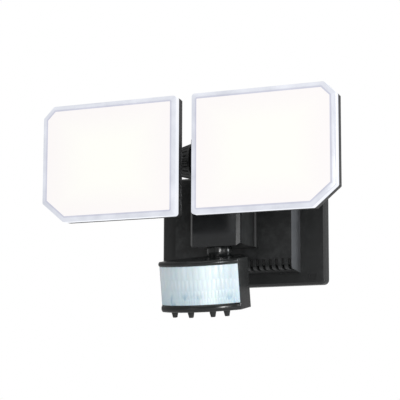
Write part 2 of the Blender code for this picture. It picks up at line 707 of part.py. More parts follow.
def build_column_cover():
    back = COLUMN_FRONT - COVER_DEPTH
    shoulder = COLUMN_FRONT - COVER_CHAMFER
    cover = loft("column_cover", [
        cover_section(0.0, back, 0.0),
        cover_section(0.0, shoulder, 0.0),
        cover_section(COVER_CHAMFER, COLUMN_FRONT, COVER_DROP),
    ])
    inner = COLUMN_WIDTH / 2 - COVER_CHAMFER - COVER_LEDGE
    cut(cover, box(
        "cover_hollow", (-inner, -COLUMN_FRONT + COVER_WALL, COLUMN_BOTTOM + COVER_WALL),
        (inner, -back + CUT_OVER, COLUMN_TOP - COVER_CHAMFER - COVER_WALL),
    ))
    cut(cover, cylinder(
        "neck_notch", (0, SWIVEL_Y, COLUMN_BOTTOM - CUT_OVER),
        (0, SWIVEL_Y, COLUMN_BOTTOM + COVER_WALL + CUT_OVER),
        SWIVEL_NECK_RADIUS + RUNNING_GAP,
    ))
    cut(cover, ball("ball_scallop", (0, SWIVEL_Y, SWIVEL_Z), BALL_RADIUS + RUNNING_GAP))
    for side in (-1, 1):
        cut(cover, cylinder(
            "cover_bore", (side * COVER_SCREW_X, -COLUMN_FRONT - CUT_OVER, COVER_SCREW_Z),
            (side * COVER_SCREW_X, -back + CUT_OVER, COVER_SCREW_Z),
            CANOPY_SCREW_RADIUS + SCREW_GAP, SMALL_STEPS,
        ))
    dress(settle(cover), "black_housing")
    for side, label in ((-1, "left"), (1, "right")):
        x = side * COVER_SCREW_X
        fixing = screw(
            label + "_cover_screw", (x, -back + COVER_SCREW_GRIP, COVER_SCREW_Z),
            (x, -COLUMN_FRONT - TOUCH_GAP, COVER_SCREW_Z),
            CANOPY_SCREW_RADIUS, 2 * CANOPY_SCREW_RADIUS, COVER_SCREW_HEAD,
        )
        dress(fixing, "black_cast")


# ---- lamp arms -------------------------------------------------------------------------------------
def head_centre_x():
    return HEAD_GAP / 2 + HEAD_WIDTH / 2


def build_arm(side, label):
    """An elbow from the column's side port to the barrel that the pan pin passes through."""
    port_inside = COLUMN_WIDTH / 2 - COLUMN_WALL - TOUCH_GAP
    pan_x = head_centre_x()
    corners = [
        (side * (port_inside - ARM_COLLAR_LENGTH), ARM_PORT_Y, ARM_PORT_Z),
        (side * (COLUMN_WIDTH / 2 + LOCK_NUT_LENGTH + ARM_STRAIGHT), ARM_PORT_Y, ARM_PORT_Z),
        (side * (pan_x - ARM_LAST_BEND[0]), PAN_AXIS_Y + ARM_LAST_BEND[1], HEAD_CENTRE_Z),
        (side * pan_x, PAN_AXIS_Y, HEAD_CENTRE_Z),
    ]
    path = filleted_path(corners, ARM_BEND_RADIUS)
    arm = swept_tube(label + "_arm", path, ARM_RADIUS, ARM_END_RADIUS)
    join(arm, cylinder(
        "arm_collar", (side * (port_inside - ARM_COLLAR_LENGTH), ARM_PORT_Y, ARM_PORT_Z),
        (side * port_inside, ARM_PORT_Y, ARM_PORT_Z), ARM_COLLAR_RADIUS,
    ))
    half = BARREL_HEIGHT / 2
    join(arm, cylinder(
        "arm_barrel", (side * pan_x, PAN_AXIS_Y, HEAD_CENTRE_Z - half),
        (side * pan_x, PAN_AXIS_Y, HEAD_CENTRE_Z + half), BARREL_RADIUS,
    ))
    cut(arm, cylinder(
        "pan_bore", (side * pan_x, PAN_AXIS_Y, HEAD_CENTRE_Z - 2 * half),
        (side * pan_x, PAN_AXIS_Y, HEAD_CENTRE_Z + 2 * half), PAN_PIN_RADIUS + RUNNING_GAP, SMALL_STEPS,
    ))
    cut(arm, cylinder(
        "cable_bore", (side * (port_inside - 2 * ARM_COLLAR_LENGTH), ARM_PORT_Y, ARM_PORT_Z),
        (side * (COLUMN_WIDTH / 2 + LOCK_NUT_LENGTH + ARM_BORE_PAST_NUT), ARM_PORT_Y, ARM_PORT_Z),
        ARM_BORE_RADIUS, SMALL_STEPS,
    ))
    dress(settle(arm), "black_cast")
    washer_start = COLUMN_WIDTH / 2 + TOUCH_GAP
    nut_start = washer_start + WASHER_THICKNESS + TOUCH_GAP
    outward = (side, 0, 0)
    seal_radius = LOCK_NUT_BASE_RADIUS - PORT_SEAL_INSET
    washer = turned(
        label + "_port_seal", [(0, seal_radius), (WASHER_THICKNESS, seal_radius)],
        (side * washer_start, ARM_PORT_Y, ARM_PORT_Z), outward,
    )
    nut = turned(label + "_lock_nut", [
        (0, LOCK_NUT_BASE_RADIUS - LOCK_NUT_CHAMFER), (LOCK_NUT_CHAMFER, LOCK_NUT_BASE_RADIUS),
        (LOCK_NUT_LENGTH, LOCK_NUT_TIP_RADIUS),
    ], (side * nut_start, ARM_PORT_Y, ARM_PORT_Z), outward)
    for piece, finish in ((washer, "rubber_seal"), (nut, "black_housing")):
        cut(piece, cylinder(
            "nut_bore", (side * (washer_start - CUT_OVER), ARM_PORT_Y, ARM_PORT_Z),
            (side * (nut_start + LOCK_NUT_LENGTH + CUT_OVER), ARM_PORT_Y, ARM_PORT_Z),
            ARM_RADIUS + TOUCH_GAP,
        ))
        dress(settle(piece), finish)


# ---- knuckle ---------------------------------------------------------------------------------------
def build_knuckle(side, label, pan_frame):
    """Two ears round the arm's barrel, a web before it, and a tongue for the tilt pin."""
    x = side * head_centre_x()
    half = BARREL_HEIGHT / 2 + RUNNING_GAP
    web_back = PAN_AXIS_Y - BARREL_RADIUS - RUNNING_GAP
    web_front = web_back - KNUCKLE_WEB
    ear = capsule((x, PAN_AXIS_Y), (x, web_front), BARREL_RADIUS)
    knuckle = prism(
        label + "_knuckle", ear, "Z", HEAD_CENTRE_Z + half, HEAD_CENTRE_Z + half + KNUCKLE_EAR
    )
    join(knuckle, prism("lower_ear", ear, "Z", HEAD_CENTRE_Z - half - KNUCKLE_EAR, HEAD_CENTRE_Z - half))
    web_half = BARREL_RADIUS - SEAM_STEP
    web_rise = half + KNUCKLE_EAR - SEAM_STEP
    join(knuckle, box(
        "knuckle_web", (x - web_half, web_front + SEAM_STEP, HEAD_CENTRE_Z - web_rise),
        (x + web_half, web_back, HEAD_CENTRE_Z + web_rise),
    ))
    tongue = capsule((TILT_AXIS_Y, HEAD_CENTRE_Z), (web_front + CUT_OVER, HEAD_CENTRE_Z), TONGUE_RADIUS)
    join(knuckle, prism("knuckle_tongue", tongue, "X", x - TONGUE_WIDTH / 2, x + TONGUE_WIDTH / 2))
    cut(knuckle, cylinder(
        "ear_bores", (x, PAN_AXIS_Y, HEAD_CENTRE_Z - BARREL_HEIGHT - KNUCKLE_EAR),
        (x, PAN_AXIS_Y, HEAD_CENTRE_Z + BARREL_HEIGHT + KNUCKLE_EAR),
        PAN_PIN_RADIUS + SCREW_GAP, SMALL_STEPS,
    ))
    cut(knuckle, cylinder(
        "tongue_bore", (x - TONGUE_WIDTH, TILT_AXIS_Y, HEAD_CENTRE_Z),
        (x + TONGUE_WIDTH, TILT_AXIS_Y, HEAD_CENTRE_Z),
        TILT_PIN_RADIUS + RUNNING_GAP, SMALL_STEPS,
    ))
    pan_origin = (x, PAN_AXIS_Y, HEAD_CENTRE_Z)
    dress(settle(knuckle), "black_cast", pan_origin, pan_frame)
    reach = half + KNUCKLE_EAR + TOUCH_GAP
    build_bolt_and_nut(
        label + "_pan", pan_origin, (0, 0, 1), reach, PAN_PIN_RADIUS, pan_origin, pan_frame
    )


def build_bolt_and_nut(label, centre, direction, reach, radius, origin, parent):
    """A bolt through a pivot, its head past one end of the stack and its nut past the other."""
    centre = Vector(centre)
    direction = Vector(direction)
    tail = reach + NUT_HEIGHT + BOLT_PAST_NUT
    bolt = turned(label + "_bolt", [
        (0.0, radius - BOLT_TIP_CHAMFER / 2), (BOLT_TIP_CHAMFER, radius), (tail + reach, radius),
        (tail + reach, BOLT_HEAD_RADIUS),
        (tail + reach + BOLT_HEAD_HEIGHT * 0.6, BOLT_HEAD_RADIUS),
        (tail + reach + BOLT_HEAD_HEIGHT, BOLT_HEAD_RADIUS * 0.7),
    ], centre - direction * tail, direction, SMALL_STEPS)
    dress(bolt, "zinc_steel", origin, parent)
    nut = turned(
        label + "_nut", [(0.0, NUT_RADIUS), (NUT_HEIGHT, NUT_RADIUS)],
        centre - direction * (reach + NUT_HEIGHT), direction, 6,
    )
    cut(nut, cylinder(
        "nut_thread", centre - direction * (tail + CUT_OVER), centre - direction * (reach - CUT_OVER),
        radius + TOUCH_GAP, SMALL_STEPS,
    ))
    dress(settle(nut), "zinc_steel", origin, parent)


# ---- lamp head -------------------------------------------------------------------------------------
def drawn_in_clip(clip, amount):
    """A clipped corner's two legs once every side has moved inwards by the amount. It never quite closes."""
    reach = 1 / clip[0] + 1 / clip[1] - math.hypot(1 / clip[0], 1 / clip[1])
    share = max(1 - amount * reach, HEAD_LEAST_CLIP)
    return clip[0] * share, clip[1] * share


def head_outline(side, amount):
    """The head's outline in X and Z, anticlockwise, with every side moved inwards by the amount."""
    inner = HEAD_GAP / 2 + amount
    outer = HEAD_GAP / 2 + HEAD_WIDTH - amount
    top = HEAD_CENTRE_Z + HEAD_HEIGHT / 2 - amount
    bottom = HEAD_CENTRE_Z - HEAD_HEIGHT / 2 + amount
    clip = HEAD_INNER_CLIP
    top_x, top_z = drawn_in_clip(HEAD_TOP_CLIP, amount)
    bottom_x, bottom_z = drawn_in_clip(HEAD_BOTTOM_CLIP, amount)
    points = [
        (inner + clip, bottom), (outer - bottom_x, bottom), (outer, bottom + bottom_z),
        (outer, top - top_z), (outer - top_x, top), (inner + clip, top),
        (inner, top - clip), (inner, bottom + clip),
    ]
    if side < 0:
        points = [(-x, z) for x, z in reversed(points)]
    return points


def head_slice(side, amount, depth):
    """A section through a head: its outline moved inwards by the amount, this far from the wall."""
    return at_depth(head_outline(side, amount), depth)


def shell_depths():
    """Distances from the wall to the shell's rim, to the end of its straight side and to its flat back."""
    rim = HEAD_FACE - LENS_BEVEL[1] - LENS_SIDE - TOUCH_GAP
    return rim, rim - SHELL_SIDE, rim - SHELL_SIDE - SHELL_TAPER


def build_head_shell(side, label, origin, frame):
    rim, bend, back = shell_depths()
    shell = loft(label + "_housing", [
        head_slice(side, SHELL_SIDE_INSET[0], rim),
        head_slice(side, SHELL_SIDE_INSET[1], bend),
        head_slice(side, SHELL_BACK_INSET, back),
    ])
    x = side * head_centre_x()
    join(shell, fin_block(side, back))
    ear_inner = TONGUE_WIDTH / 2 + RUNNING_GAP
    for way in (-1, 1):
        profile = capsule(
            (TILT_AXIS_Y, HEAD_CENTRE_Z), (-back - EAR_SINK, HEAD_CENTRE_Z), HEAD_EAR_RADIUS
        )
        ends = sorted((x + way * ear_inner, x + way * (ear_inner + HEAD_EAR)))
        join(shell, prism("head_ear", profile, "X", ends[0], ends[1]))
    cut(shell, loft("head_hollow", [
        head_slice(side, SHELL_WALL, rim + CUT_OVER),
        head_slice(side, SHELL_WALL, bend),
        head_slice(side, SHELL_BACK_INSET + SHELL_WALL * 0.5, back + SHELL_WALL),
    ]))
    cut(shell, cylinder(
        "tilt_bore", (x - TONGUE_WIDTH / 2 - 2 * HEAD_EAR, TILT_AXIS_Y, HEAD_CENTRE_Z),
        (x + TONGUE_WIDTH / 2 + 2 * HEAD_EAR, TILT_AXIS_Y, HEAD_CENTRE_Z),
        TILT_PIN_RADIUS + SCREW_GAP, SMALL_STEPS,
    ))
    for sx, sz in head_screw_places(side):
        cut(shell, cylinder(
            "head_bore", (sx, -back + CUT_OVER, sz), (sx, -back - SHELL_WALL - CUT_OVER, sz),
            CANOPY_SCREW_RADIUS + SCREW_GAP, SMALL_STEPS,
        ))
    dress(settle(shell), "black_cast", origin, frame)


def fin_corners(bm, low_x, high_x, half, y):
    """A fin's section at a place along Y, anticlockwise in X and Z."""
    low_z = HEAD_CENTRE_Z - half
    high_z = HEAD_CENTRE_Z + half
    corners = [(low_x, low_z), (high_x, low_z), (high_x, high_z), (low_x, high_z)]
    return [bm.verts.new((x, y, z)) for x, z in corners]


def fin_block(side, back):
    """The cooling fins, apart from those that would stand where the knuckle moves."""
    centre = side * head_centre_x()
    reach = HEAD_WIDTH / 2 - SHELL_BACK_INSET - FIN_END_MARGIN
    count = int(reach // FIN_PITCH)
    bm = bmesh.new()
    for k in range(-count, count + 1):
        shift = k * FIN_PITCH
        if abs(shift) < FIN_FREE_HALF_WIDTH:
            continue
        low_x = centre + shift - FIN_THICKNESS / 2
        high_x = centre + shift + FIN_THICKNESS / 2
        root = fin_corners(bm, low_x, high_x, FIN_LENGTH / 2, -back - EAR_SINK)
        tip = fin_corners(bm, low_x, high_x, FIN_LENGTH / 2 - FIN_END_SLOPE, -back + FIN_HEIGHT)
        for i in range(4):
            bm.faces.new((root[i], root[(i + 1) % 4], tip[(i + 1) % 4], tip[i]))
        bm.faces.new(root[::-1])
        bm.faces.new(tip)
    return add_object("fin_block", bm)


def head_screw_places(side):
    """Near the corners of the shell's flat back, beyond the ends of the fins."""
    x = head_centre_x()
    half_x = HEAD_WIDTH / 2 - SHELL_BACK_INSET - HEAD_SCREW_MARGIN
    half_z = FIN_LENGTH / 2 + HEAD_SCREW_PAST_FIN
    return [
        (side * (x + way * half_x), HEAD_CENTRE_Z + rise * half_z) for rise in (-1, 1) for way in (-1, 1)
    ]


def build_head(side, label, origin, frame):
    build_head_shell(side, label, origin, frame)
    rim, _, back = shell_depths()
    bevel, fall = LENS_BEVEL
    shoulder = HEAD_FACE - fall
    lens = loft(label + "_lens", [
        head_slice(side, 0.0, shoulder - LENS_SIDE),
        head_slice(side, 0.0, shoulder),
        head_slice(side, bevel, HEAD_FACE),
    ])
    cut(lens, loft("lens_hollow", [
        head_slice(side, LENS_WALL, shoulder - 2 * LENS_SIDE),
        head_slice(side, LENS_WALL, shoulder - LENS_WALL / 2),
        head_slice(side, bevel + LENS_WALL / 2, HEAD_FACE - LENS_WALL),
    ]))
    dress(settle(lens), "lit_lens", origin, frame)
    seal_outer = SHELL_WALL + TOUCH_GAP
    seal = loft(label + "_lens_seal", [
        head_slice(side, seal_outer, rim),
        head_slice(side, seal_outer, rim - SEAL_SIZE[1]),
    ])
    cut(seal, loft("seal_opening", [
        head_slice(side, seal_outer + SEAL_SIZE[0], rim + CUT_OVER),
        head_slice(side, seal_outer + SEAL_SIZE[0], rim - SEAL_SIZE[1] - CUT_OVER),
    ]))
    dress(settle(seal), "rubber_seal", origin, frame)
    diffuser_front = rim - SEAL_SIZE[1] - TOUCH_GAP
    diffuser = loft(label + "_diffuser", [
        head_slice(side, seal_outer, diffuser_front),
        head_slice(side, seal_outer, diffuser_front - DIFFUSER_THICKNESS),
    ])
    dress(diffuser, "white_plastic", origin, frame)
    board_back = back + SHELL_WALL + TOUCH_GAP
    board_inset = SHELL_BACK_INSET + LED_BOARD_INSET
    board = loft(label + "_led_board", [
        head_slice(side, board_inset, board_back),
        head_slice(side, board_inset, board_back + LED_BOARD_THICKNESS),
    ])
    for sx, sz in head_screw_places(side):
        cut(board, cylinder(
            "board_bore", (sx, -board_back + CUT_OVER, sz),
            (sx, -board_back - LED_BOARD_THICKNESS - CUT_OVER, sz),
            CANOPY_SCREW_RADIUS + SCREW_GAP, SMALL_STEPS,
        ))
    dress(settle(board), "white_plastic", origin, frame)
    for number, (sx, sz) in enumerate(head_screw_places(side), 1):
        fixing = screw(
            f"{label}_screw_{number}", (sx, -board_back - LED_BOARD_THICKNESS - SCREW_PAST_BOARD, sz),
            (sx, -back + TOUCH_GAP, sz), CANOPY_SCREW_RADIUS, 2 * CANOPY_SCREW_RADIUS, SCREW_HEAD_HEIGHT,
        )
        dress(fixing, "zinc_steel", origin, frame)
    reach = TONGUE_WIDTH / 2 + RUNNING_GAP + HEAD_EAR + TOUCH_GAP
    build_bolt_and_nut(label + "_tilt", origin, (side, 0, 0), reach, TILT_PIN_RADIUS, origin, frame)


# ---- sensor swivel ---------------------------------------------------------------------------------
def build_swivel(frame):
    """A ball split down its middle round the sensor's stem, with a neck and a flange inside the column."""
    centre = (0.0, SWIVEL_Y, SWIVEL_Z)
    flange_low = COLUMN_BOTTOM + COLUMN_WALL + TOUCH_GAP
    flange_high = flange_low + SWIVEL_FLANGE_THICKNESS
    for side, label in ((-1, "left"), (1, "right")):
        half = ball(label + "_swivel_half", centre, BALL_RADIUS)
        cut(half, box(
            "ball_crown", (-BALL_RADIUS, SWIVEL_Y - BALL_RADIUS, COLUMN_BOTTOM - RUNNING_GAP),
            (BALL_RADIUS, SWIVEL_Y + BALL_RADIUS, SWIVEL_Z + 2 * BALL_RADIUS),
        ))
        join(half, cylinder(
            "swivel_neck", (0, SWIVEL_Y, SWIVEL_Z), (0, SWIVEL_Y, flange_low + SEAM_STEP), SWIVEL_NECK_RADIUS
        ))
        join(half, cylinder(
            "swivel_flange", (0, SWIVEL_Y, flange_low), (0, SWIVEL_Y, flange_high), SWIVEL_FLANGE_RADIUS
        ))
        cut(half, box(
            "stem_slot", (-STEM_WIDTH / 2 - RUNNING_GAP, SWIVEL_Y - STEM_TRAVEL, SWIVEL_Z - 2 * BALL_RADIUS),
            (STEM_WIDTH / 2 + RUNNING_GAP, SWIVEL_Y + STEM_TRAVEL, SWIVEL_Z + STEM_RADIUS + 2 * RUNNING_GAP),
        ))
        cut(half, cylinder(
            "swivel_pin_bore", (-SWIVEL_PIN_LENGTH / 2 - TOUCH_GAP, SWIVEL_Y, SWIVEL_Z),
            (SWIVEL_PIN_LENGTH / 2 + TOUCH_GAP, SWIVEL_Y, SWIVEL_Z),
            SWIVEL_PIN_RADIUS + TOUCH_GAP, SMALL_STEPS,
        ))
        reach = 2 * BALL_RADIUS
        split = sorted((side * TOUCH_GAP / 2, -side * reach))
        cut(half, box(
            "swivel_split", (split[0], SWIVEL_Y - reach, SWIVEL_Z - reach),
            (split[1], SWIVEL_Y + reach, SWIVEL_Z + reach),
        ))
        dress(settle(half), "black_housing", centre, frame)
    pin = cylinder(
        "swivel_pin", (-SWIVEL_PIN_LENGTH / 2, SWIVEL_Y, SWIVEL_Z),
        (SWIVEL_PIN_LENGTH / 2, SWIVEL_Y, SWIVEL_Z),
        SWIVEL_PIN_RADIUS, SMALL_STEPS,
    )
    dress(pin, "zinc_steel", centre, frame)


# ---- sensor head -----------------------------------------------------------------------------------
def front_radius():
    return (SENSOR_HALF_WIDTH**2 + SENSOR_ARC_RISE**2) / (2 * SENSOR_ARC_RISE)


def front_arc(depth, half_width, steps=30):
    """The curved front, this far behind its face, from the left end to the right end."""
    radius = front_radius() - depth
    middle = SENSOR_ARC_Y - SENSOR_ARC_RISE + front_radius()
    sweep = math.asin(half_width / radius)
    points = []
    for i in range(steps + 1):
        angle = sweep * (2 * i / steps - 1)
        points.append((radius * math.sin(angle), middle - radius * math.cos(angle)))
    return points


def sensor_levels():
    """Heights of the sensor's bottom, window bottom, window top and top."""
    bottom = SENSOR_TOP - SENSOR_HEIGHT
    return bottom, bottom + SENSOR_BOTTOM_RIM, SENSOR_TOP - SENSOR_TOP_RIM, SENSOR_TOP


def build_bezel(frame):
    bottom, window_low, window_high, top = sensor_levels()
    back = SENSOR_ARC_Y + SENSOR_BEZEL_DEPTH
    half = SENSOR_HALF_WIDTH
    outline = front_arc(0.0, half) + [(half, back), (-half, back)]
    bezel = prism("sensor_bezel", outline, "Z", bottom, top, frame)
    inner = half - SENSOR_WALL
    hollow = front_arc(SENSOR_WALL, inner) + [(inner, back + CUT_OVER), (-inner, back + CUT_OVER)]
    cut(bezel, prism("bezel_hollow", hollow, "Z", bottom + SENSOR_WALL, top - SENSOR_WALL, frame))
    middle = (window_low + window_high) / 2
    window = rounded_rectangle(
        WINDOW_HALF_WIDTH, (window_high - window_low) / 2, WINDOW_CORNER, (0.0, middle)
    )
    opening_front = SENSOR_ARC_Y - SENSOR_ARC_RISE - CUT_OVER
    cut(bezel, prism("window_opening", window, "Y", opening_front, SENSOR_ARC_Y - TOUCH_GAP, frame))
    for x, y in knob_places():
        cut(bezel, cylinder(
            "knob_hole", (x, y, bottom - CUT_OVER), (x, y, bottom + SENSOR_WALL + CUT_OVER),
            KNOB_SHAFT_RADIUS + SCREW_GAP, SMALL_STEPS, frame,
        ))
    dress(settle(bezel), "black_housing")


def build_sensor_lens(frame):
    bottom, _, _, top = sensor_levels()
    half = SENSOR_HALF_WIDTH - SENSOR_WALL - TOUCH_GAP
    outer = front_arc(SENSOR_WALL + TOUCH_GAP, half)
    inner = front_arc(SENSOR_WALL + TOUCH_GAP + SENSOR_LENS_THICKNESS, half - SENSOR_LENS_THICKNESS * 0.5)
    rim = SENSOR_WALL + 2 * TOUCH_GAP
    lens = prism("sensor_lens", outer + inner[::-1], "Z", bottom + rim, top - rim, frame)
    dress(lens, "sensor_lens")


def sensor_back_outline(wall):
    """The housing's plan behind the bezel, moved inwards by the wall, but open to its front."""
    front = SENSOR_ARC_Y + SENSOR_BEZEL_DEPTH + TOUCH_GAP
    cheek_end = front + SENSOR_CHEEK
    back = front + SENSOR_BACK_DEPTH - wall
    half = SENSOR_HALF_WIDTH - wall
    back_half = SENSOR_BACK_HALF_WIDTH - wall
    front -= wall
    right = [
        (half, front), (half, cheek_end), (back_half, back - SENSOR_BACK_CORNER),
        (back_half - SENSOR_BACK_CORNER, back),
    ]
    return right + [(-x, y) for x, y in reversed(right)]


def build_sensor_housing(frame):
    bottom, _, _, top = sensor_levels()
    housing = prism("sensor_housing", sensor_back_outline(0.0), "Z", bottom, top, frame)
    heel_y = SENSOR_ARC_Y + SENSOR_BEZEL_DEPTH + SENSOR_BACK_DEPTH
    length, rise = SENSOR_HEEL
    heel_end = heel_y + length * HEEL_CUT_SHARE
    heel = [
        (heel_y - length, bottom), (heel_y - length, bottom - rise), (heel_end, bottom - rise),
        (heel_end, bottom + rise * (1 + HEEL_CUT_SHARE)),
    ]
    cut(housing, prism("sensor_heel", heel, "X", -SENSOR_HALF_WIDTH, SENSOR_HALF_WIDTH, frame))
    hollow = prism(
        "sensor_hollow", sensor_back_outline(SENSOR_WALL), "Z", bottom + SENSOR_WALL, top - SENSOR_WALL, frame
    )
    inner_heel = [(y - SENSOR_WALL * HEEL_WALL_SHARE, z + SENSOR_WALL) for y, z in heel]
    cut(hollow, prism("hollow_heel", inner_heel, "X", -SENSOR_HALF_WIDTH, SENSOR_HALF_WIDTH, frame))
    cut(housing, settle(hollow))
    cup = BALL_RADIUS + BALL_SEAT_GAP + BALL_CUP_WALL
    join(housing, cylinder("ball_cup", (0, 0, -cup), (0, 0, top - SEAM_STEP), cup, ROUND_STEPS, frame))
    cut(housing, ball("ball_seat", (0, 0, 0), BALL_RADIUS + BALL_SEAT_GAP, frame))
    stem = capsule((0.0, 0.0), (0.0, -cup + BALL_CUP_WALL / 3), STEM_RADIUS)
    join(housing, prism("sensor_stem", stem, "X", -STEM_WIDTH / 2, STEM_WIDTH / 2, frame))
    cut(housing, cylinder(
        "stem_bore", (-STEM_WIDTH, 0, 0), (STEM_WIDTH, 0, 0),
        SWIVEL_PIN_RADIUS + RUNNING_GAP, SMALL_STEPS, frame,
    ))
    dress(settle(housing), "black_housing")


def knob_places():
    radius = front_radius() - KNOB_INSET
    middle = SENSOR_ARC_Y - SENSOR_ARC_RISE + front_radius()
    return [
        (radius * math.sin(math.radians(angle)), middle - radius * math.cos(math.radians(angle)))
        for angle in KNOB_ANGLES_DEG
    ]


def build_knobs(frame):
    bottom = sensor_levels()[0]
    for name, (x, y) in zip(KNOB_NAMES, knob_places()):
        tip = bottom - TOUCH_GAP - KNOB_HEIGHT
        knob = turned(name, [
            (0.0, KNOB_TIP_RADIUS - KNOB_TIP_CHAMFER), (KNOB_TIP_CHAMFER, KNOB_TIP_RADIUS),
            (KNOB_HEIGHT, KNOB_BASE_RADIUS),
            (KNOB_HEIGHT, KNOB_SHAFT_RADIUS), (KNOB_HEIGHT + KNOB_SHAFT_LENGTH, KNOB_SHAFT_RADIUS),
        ], (0.0, 0.0, tip), (0, 0, 1), SMALL_STEPS, frame)
        cut(knob, box(
            "grip_groove", (-KNOB_GRIP_GROOVE / 2, -2 * KNOB_BASE_RADIUS, tip - CUT_OVER),
            (KNOB_GRIP_GROOVE / 2, 2 * KNOB_BASE_RADIUS, tip + KNOB_GRIP_DEPTH), frame,
        ))
        dress(settle(knob), "black_housing")
        knob.location = (x, y, 0.0)


def build_sensor_electronics(frame):
    _, window_low, window_high, _ = sensor_levels()
    middle = (window_low + window_high) / 2
    width, depth, height = SENSOR_BOARD_SIZE
    board_y = SENSOR_ARC_Y + SENSOR_BOARD_BACK
    board = box(
        "sensor_board", (-width / 2, board_y, middle - height / 2),
        (width / 2, board_y + depth, middle + height / 2), frame,
    )
    dress(board, "circuit_board")
    detector = turned("heat_detector", [
        (0.0, DETECTOR_RADIUS), (DETECTOR_RIM, DETECTOR_RADIUS), (DETECTOR_RIM, DETECTOR_CAN_RADIUS),
        (DETECTOR_HEIGHT, DETECTOR_CAN_RADIUS),
    ], (0, board_y - TOUCH_GAP, middle), (0, -1, 0), SMALL_STEPS, frame)
    dress(detector, "zinc_steel")


# ---- the whole lamp --------------------------------------------------------------------------------
def joint_frame(name, location, pitch=0.0, parent=None):
    frame = bpy.data.objects.new(name, None)
    bpy.context.scene.collection.objects.link(frame)
    frame.location = location
    frame.rotation_euler = (pitch, 0.0, 0.0)
    frame.parent = parent
    return frame


def main():
    clear_scene()
    build_canopy()
    build_gasket()
    build_bracket()
    build_canopy_screws()
    build_electrics()
    build_column()
    build_column_cover()
    for side, label in ((-1, "left"), (1, "right")):
        x = side * head_centre_x()
        pan_origin = (x, PAN_AXIS_Y, HEAD_CENTRE_Z)
        tilt_origin = (x, TILT_AXIS_Y, HEAD_CENTRE_Z)
        pan_frame = joint_frame(label + "_pan_axis", pan_origin)
        tilt_frame = joint_frame(label + "_tilt_axis", tilt_origin)
        build_arm(side, label)
        build_knuckle(side, label, pan_frame)
        build_head(side, label + "_head", tilt_origin, tilt_frame)
    swivel_origin = (0.0, SWIVEL_Y, SWIVEL_Z)
    build_swivel(joint_frame("sensor_pan_axis", swivel_origin))
    sensor_frame = joint_frame("sensor_tilt_axis", swivel_origin, math.radians(SENSOR_PITCH_DEG))
    build_bezel(sensor_frame)
    build_sensor_lens(sensor_frame)
    build_sensor_housing(sensor_frame)
    build_sensor_electronics(sensor_frame)
    build_knobs(sensor_frame)


main()
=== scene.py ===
"""Looks of a wall-mounted twin-head LED floodlight with a motion sensor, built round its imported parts."""

import json
import math

import bmesh
import bpy
from mathutils import Matrix, Vector

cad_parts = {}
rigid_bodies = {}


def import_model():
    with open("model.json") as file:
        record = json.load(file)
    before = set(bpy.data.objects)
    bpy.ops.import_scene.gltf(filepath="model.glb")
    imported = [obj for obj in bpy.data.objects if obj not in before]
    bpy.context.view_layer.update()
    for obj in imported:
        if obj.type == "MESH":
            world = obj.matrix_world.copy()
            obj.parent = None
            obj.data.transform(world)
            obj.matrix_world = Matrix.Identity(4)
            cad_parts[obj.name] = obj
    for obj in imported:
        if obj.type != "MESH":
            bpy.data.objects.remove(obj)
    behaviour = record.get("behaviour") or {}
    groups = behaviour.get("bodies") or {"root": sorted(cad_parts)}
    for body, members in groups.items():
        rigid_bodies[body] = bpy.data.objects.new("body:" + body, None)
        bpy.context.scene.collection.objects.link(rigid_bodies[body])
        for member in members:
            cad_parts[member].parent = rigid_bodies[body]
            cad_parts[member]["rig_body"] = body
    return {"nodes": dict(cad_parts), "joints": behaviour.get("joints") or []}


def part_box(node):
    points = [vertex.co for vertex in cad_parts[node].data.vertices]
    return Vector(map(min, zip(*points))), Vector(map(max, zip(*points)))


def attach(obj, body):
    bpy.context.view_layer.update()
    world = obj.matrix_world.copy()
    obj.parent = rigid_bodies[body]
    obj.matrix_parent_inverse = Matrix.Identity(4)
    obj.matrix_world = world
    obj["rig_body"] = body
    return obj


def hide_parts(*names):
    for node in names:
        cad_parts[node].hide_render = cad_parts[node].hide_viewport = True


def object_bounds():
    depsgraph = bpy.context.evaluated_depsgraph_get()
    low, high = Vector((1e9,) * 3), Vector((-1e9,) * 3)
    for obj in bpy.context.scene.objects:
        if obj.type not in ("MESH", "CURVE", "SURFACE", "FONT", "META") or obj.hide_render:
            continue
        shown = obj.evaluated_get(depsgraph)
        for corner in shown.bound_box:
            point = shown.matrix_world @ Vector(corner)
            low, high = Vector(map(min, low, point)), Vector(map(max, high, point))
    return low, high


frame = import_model()
NODES = frame["nodes"]
JOINTS = {joint["name"]: joint for joint in frame["joints"]}
CAD_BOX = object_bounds()

# ---- camera ----------------------------------------------------------------------------------------
VIEW_TARGET = Vector((-0.0104, -0.1010, 0.0212))
VIEW_DISTANCE = 1.5612
VIEW_AZIMUTH = 24.0
VIEW_ELEVATION = -8.82
VIEW_ROLL = 0.18
VIEW_LENS = 137.57          # millimetres, as is the width of the camera's sensor
SENSOR_SIZE = 36.0
FLOOR_DROP = 0.36           # floor below the lamp's lowest point
FLOOR_HALF_WIDTH = 16.0
WORLD_LIGHT = 0.42          # the surroundings' strength as a light, against 1 as seen

# ---- shaping ---------------------------------------------------------------------------------------
WELD = 1e-5                 # corners this close are one
FLAT_ANGLE = math.radians(1.0)
SMOOTH_ANGLE = math.radians(38)
SHARP_ANGLE = math.radians(24)
SHORT_EDGE = 0.0012         # edges shorter than this are facets of a round, and stay as they are
SHORT_CAST_EDGE = 0.0010
LONG_EDGE = 0.0040
SIDES = ("left", "right")

# ---- driver, and the black sheet of painted shade behind the vents ---------------------------------
CASE_RIB = 0.0012
CASE_RIB_COUNT = 9
SHEET = 0.0005
SHEET_GAP = 0.0002
SHEET_REACH = 0.0630        # half the sheet's width
SHEET_TOP_DROP = 0.0040     # from the driver's top to the sheet's
SHEET_BACK_STEP = 0.0020    # from the driver's back to the sheet's end
VENT_SHADE_SHEET_Y = -0.0284     # just behind the vents' ends under the bay
VENT_SHADE_SHEET_FOOT = -0.0440

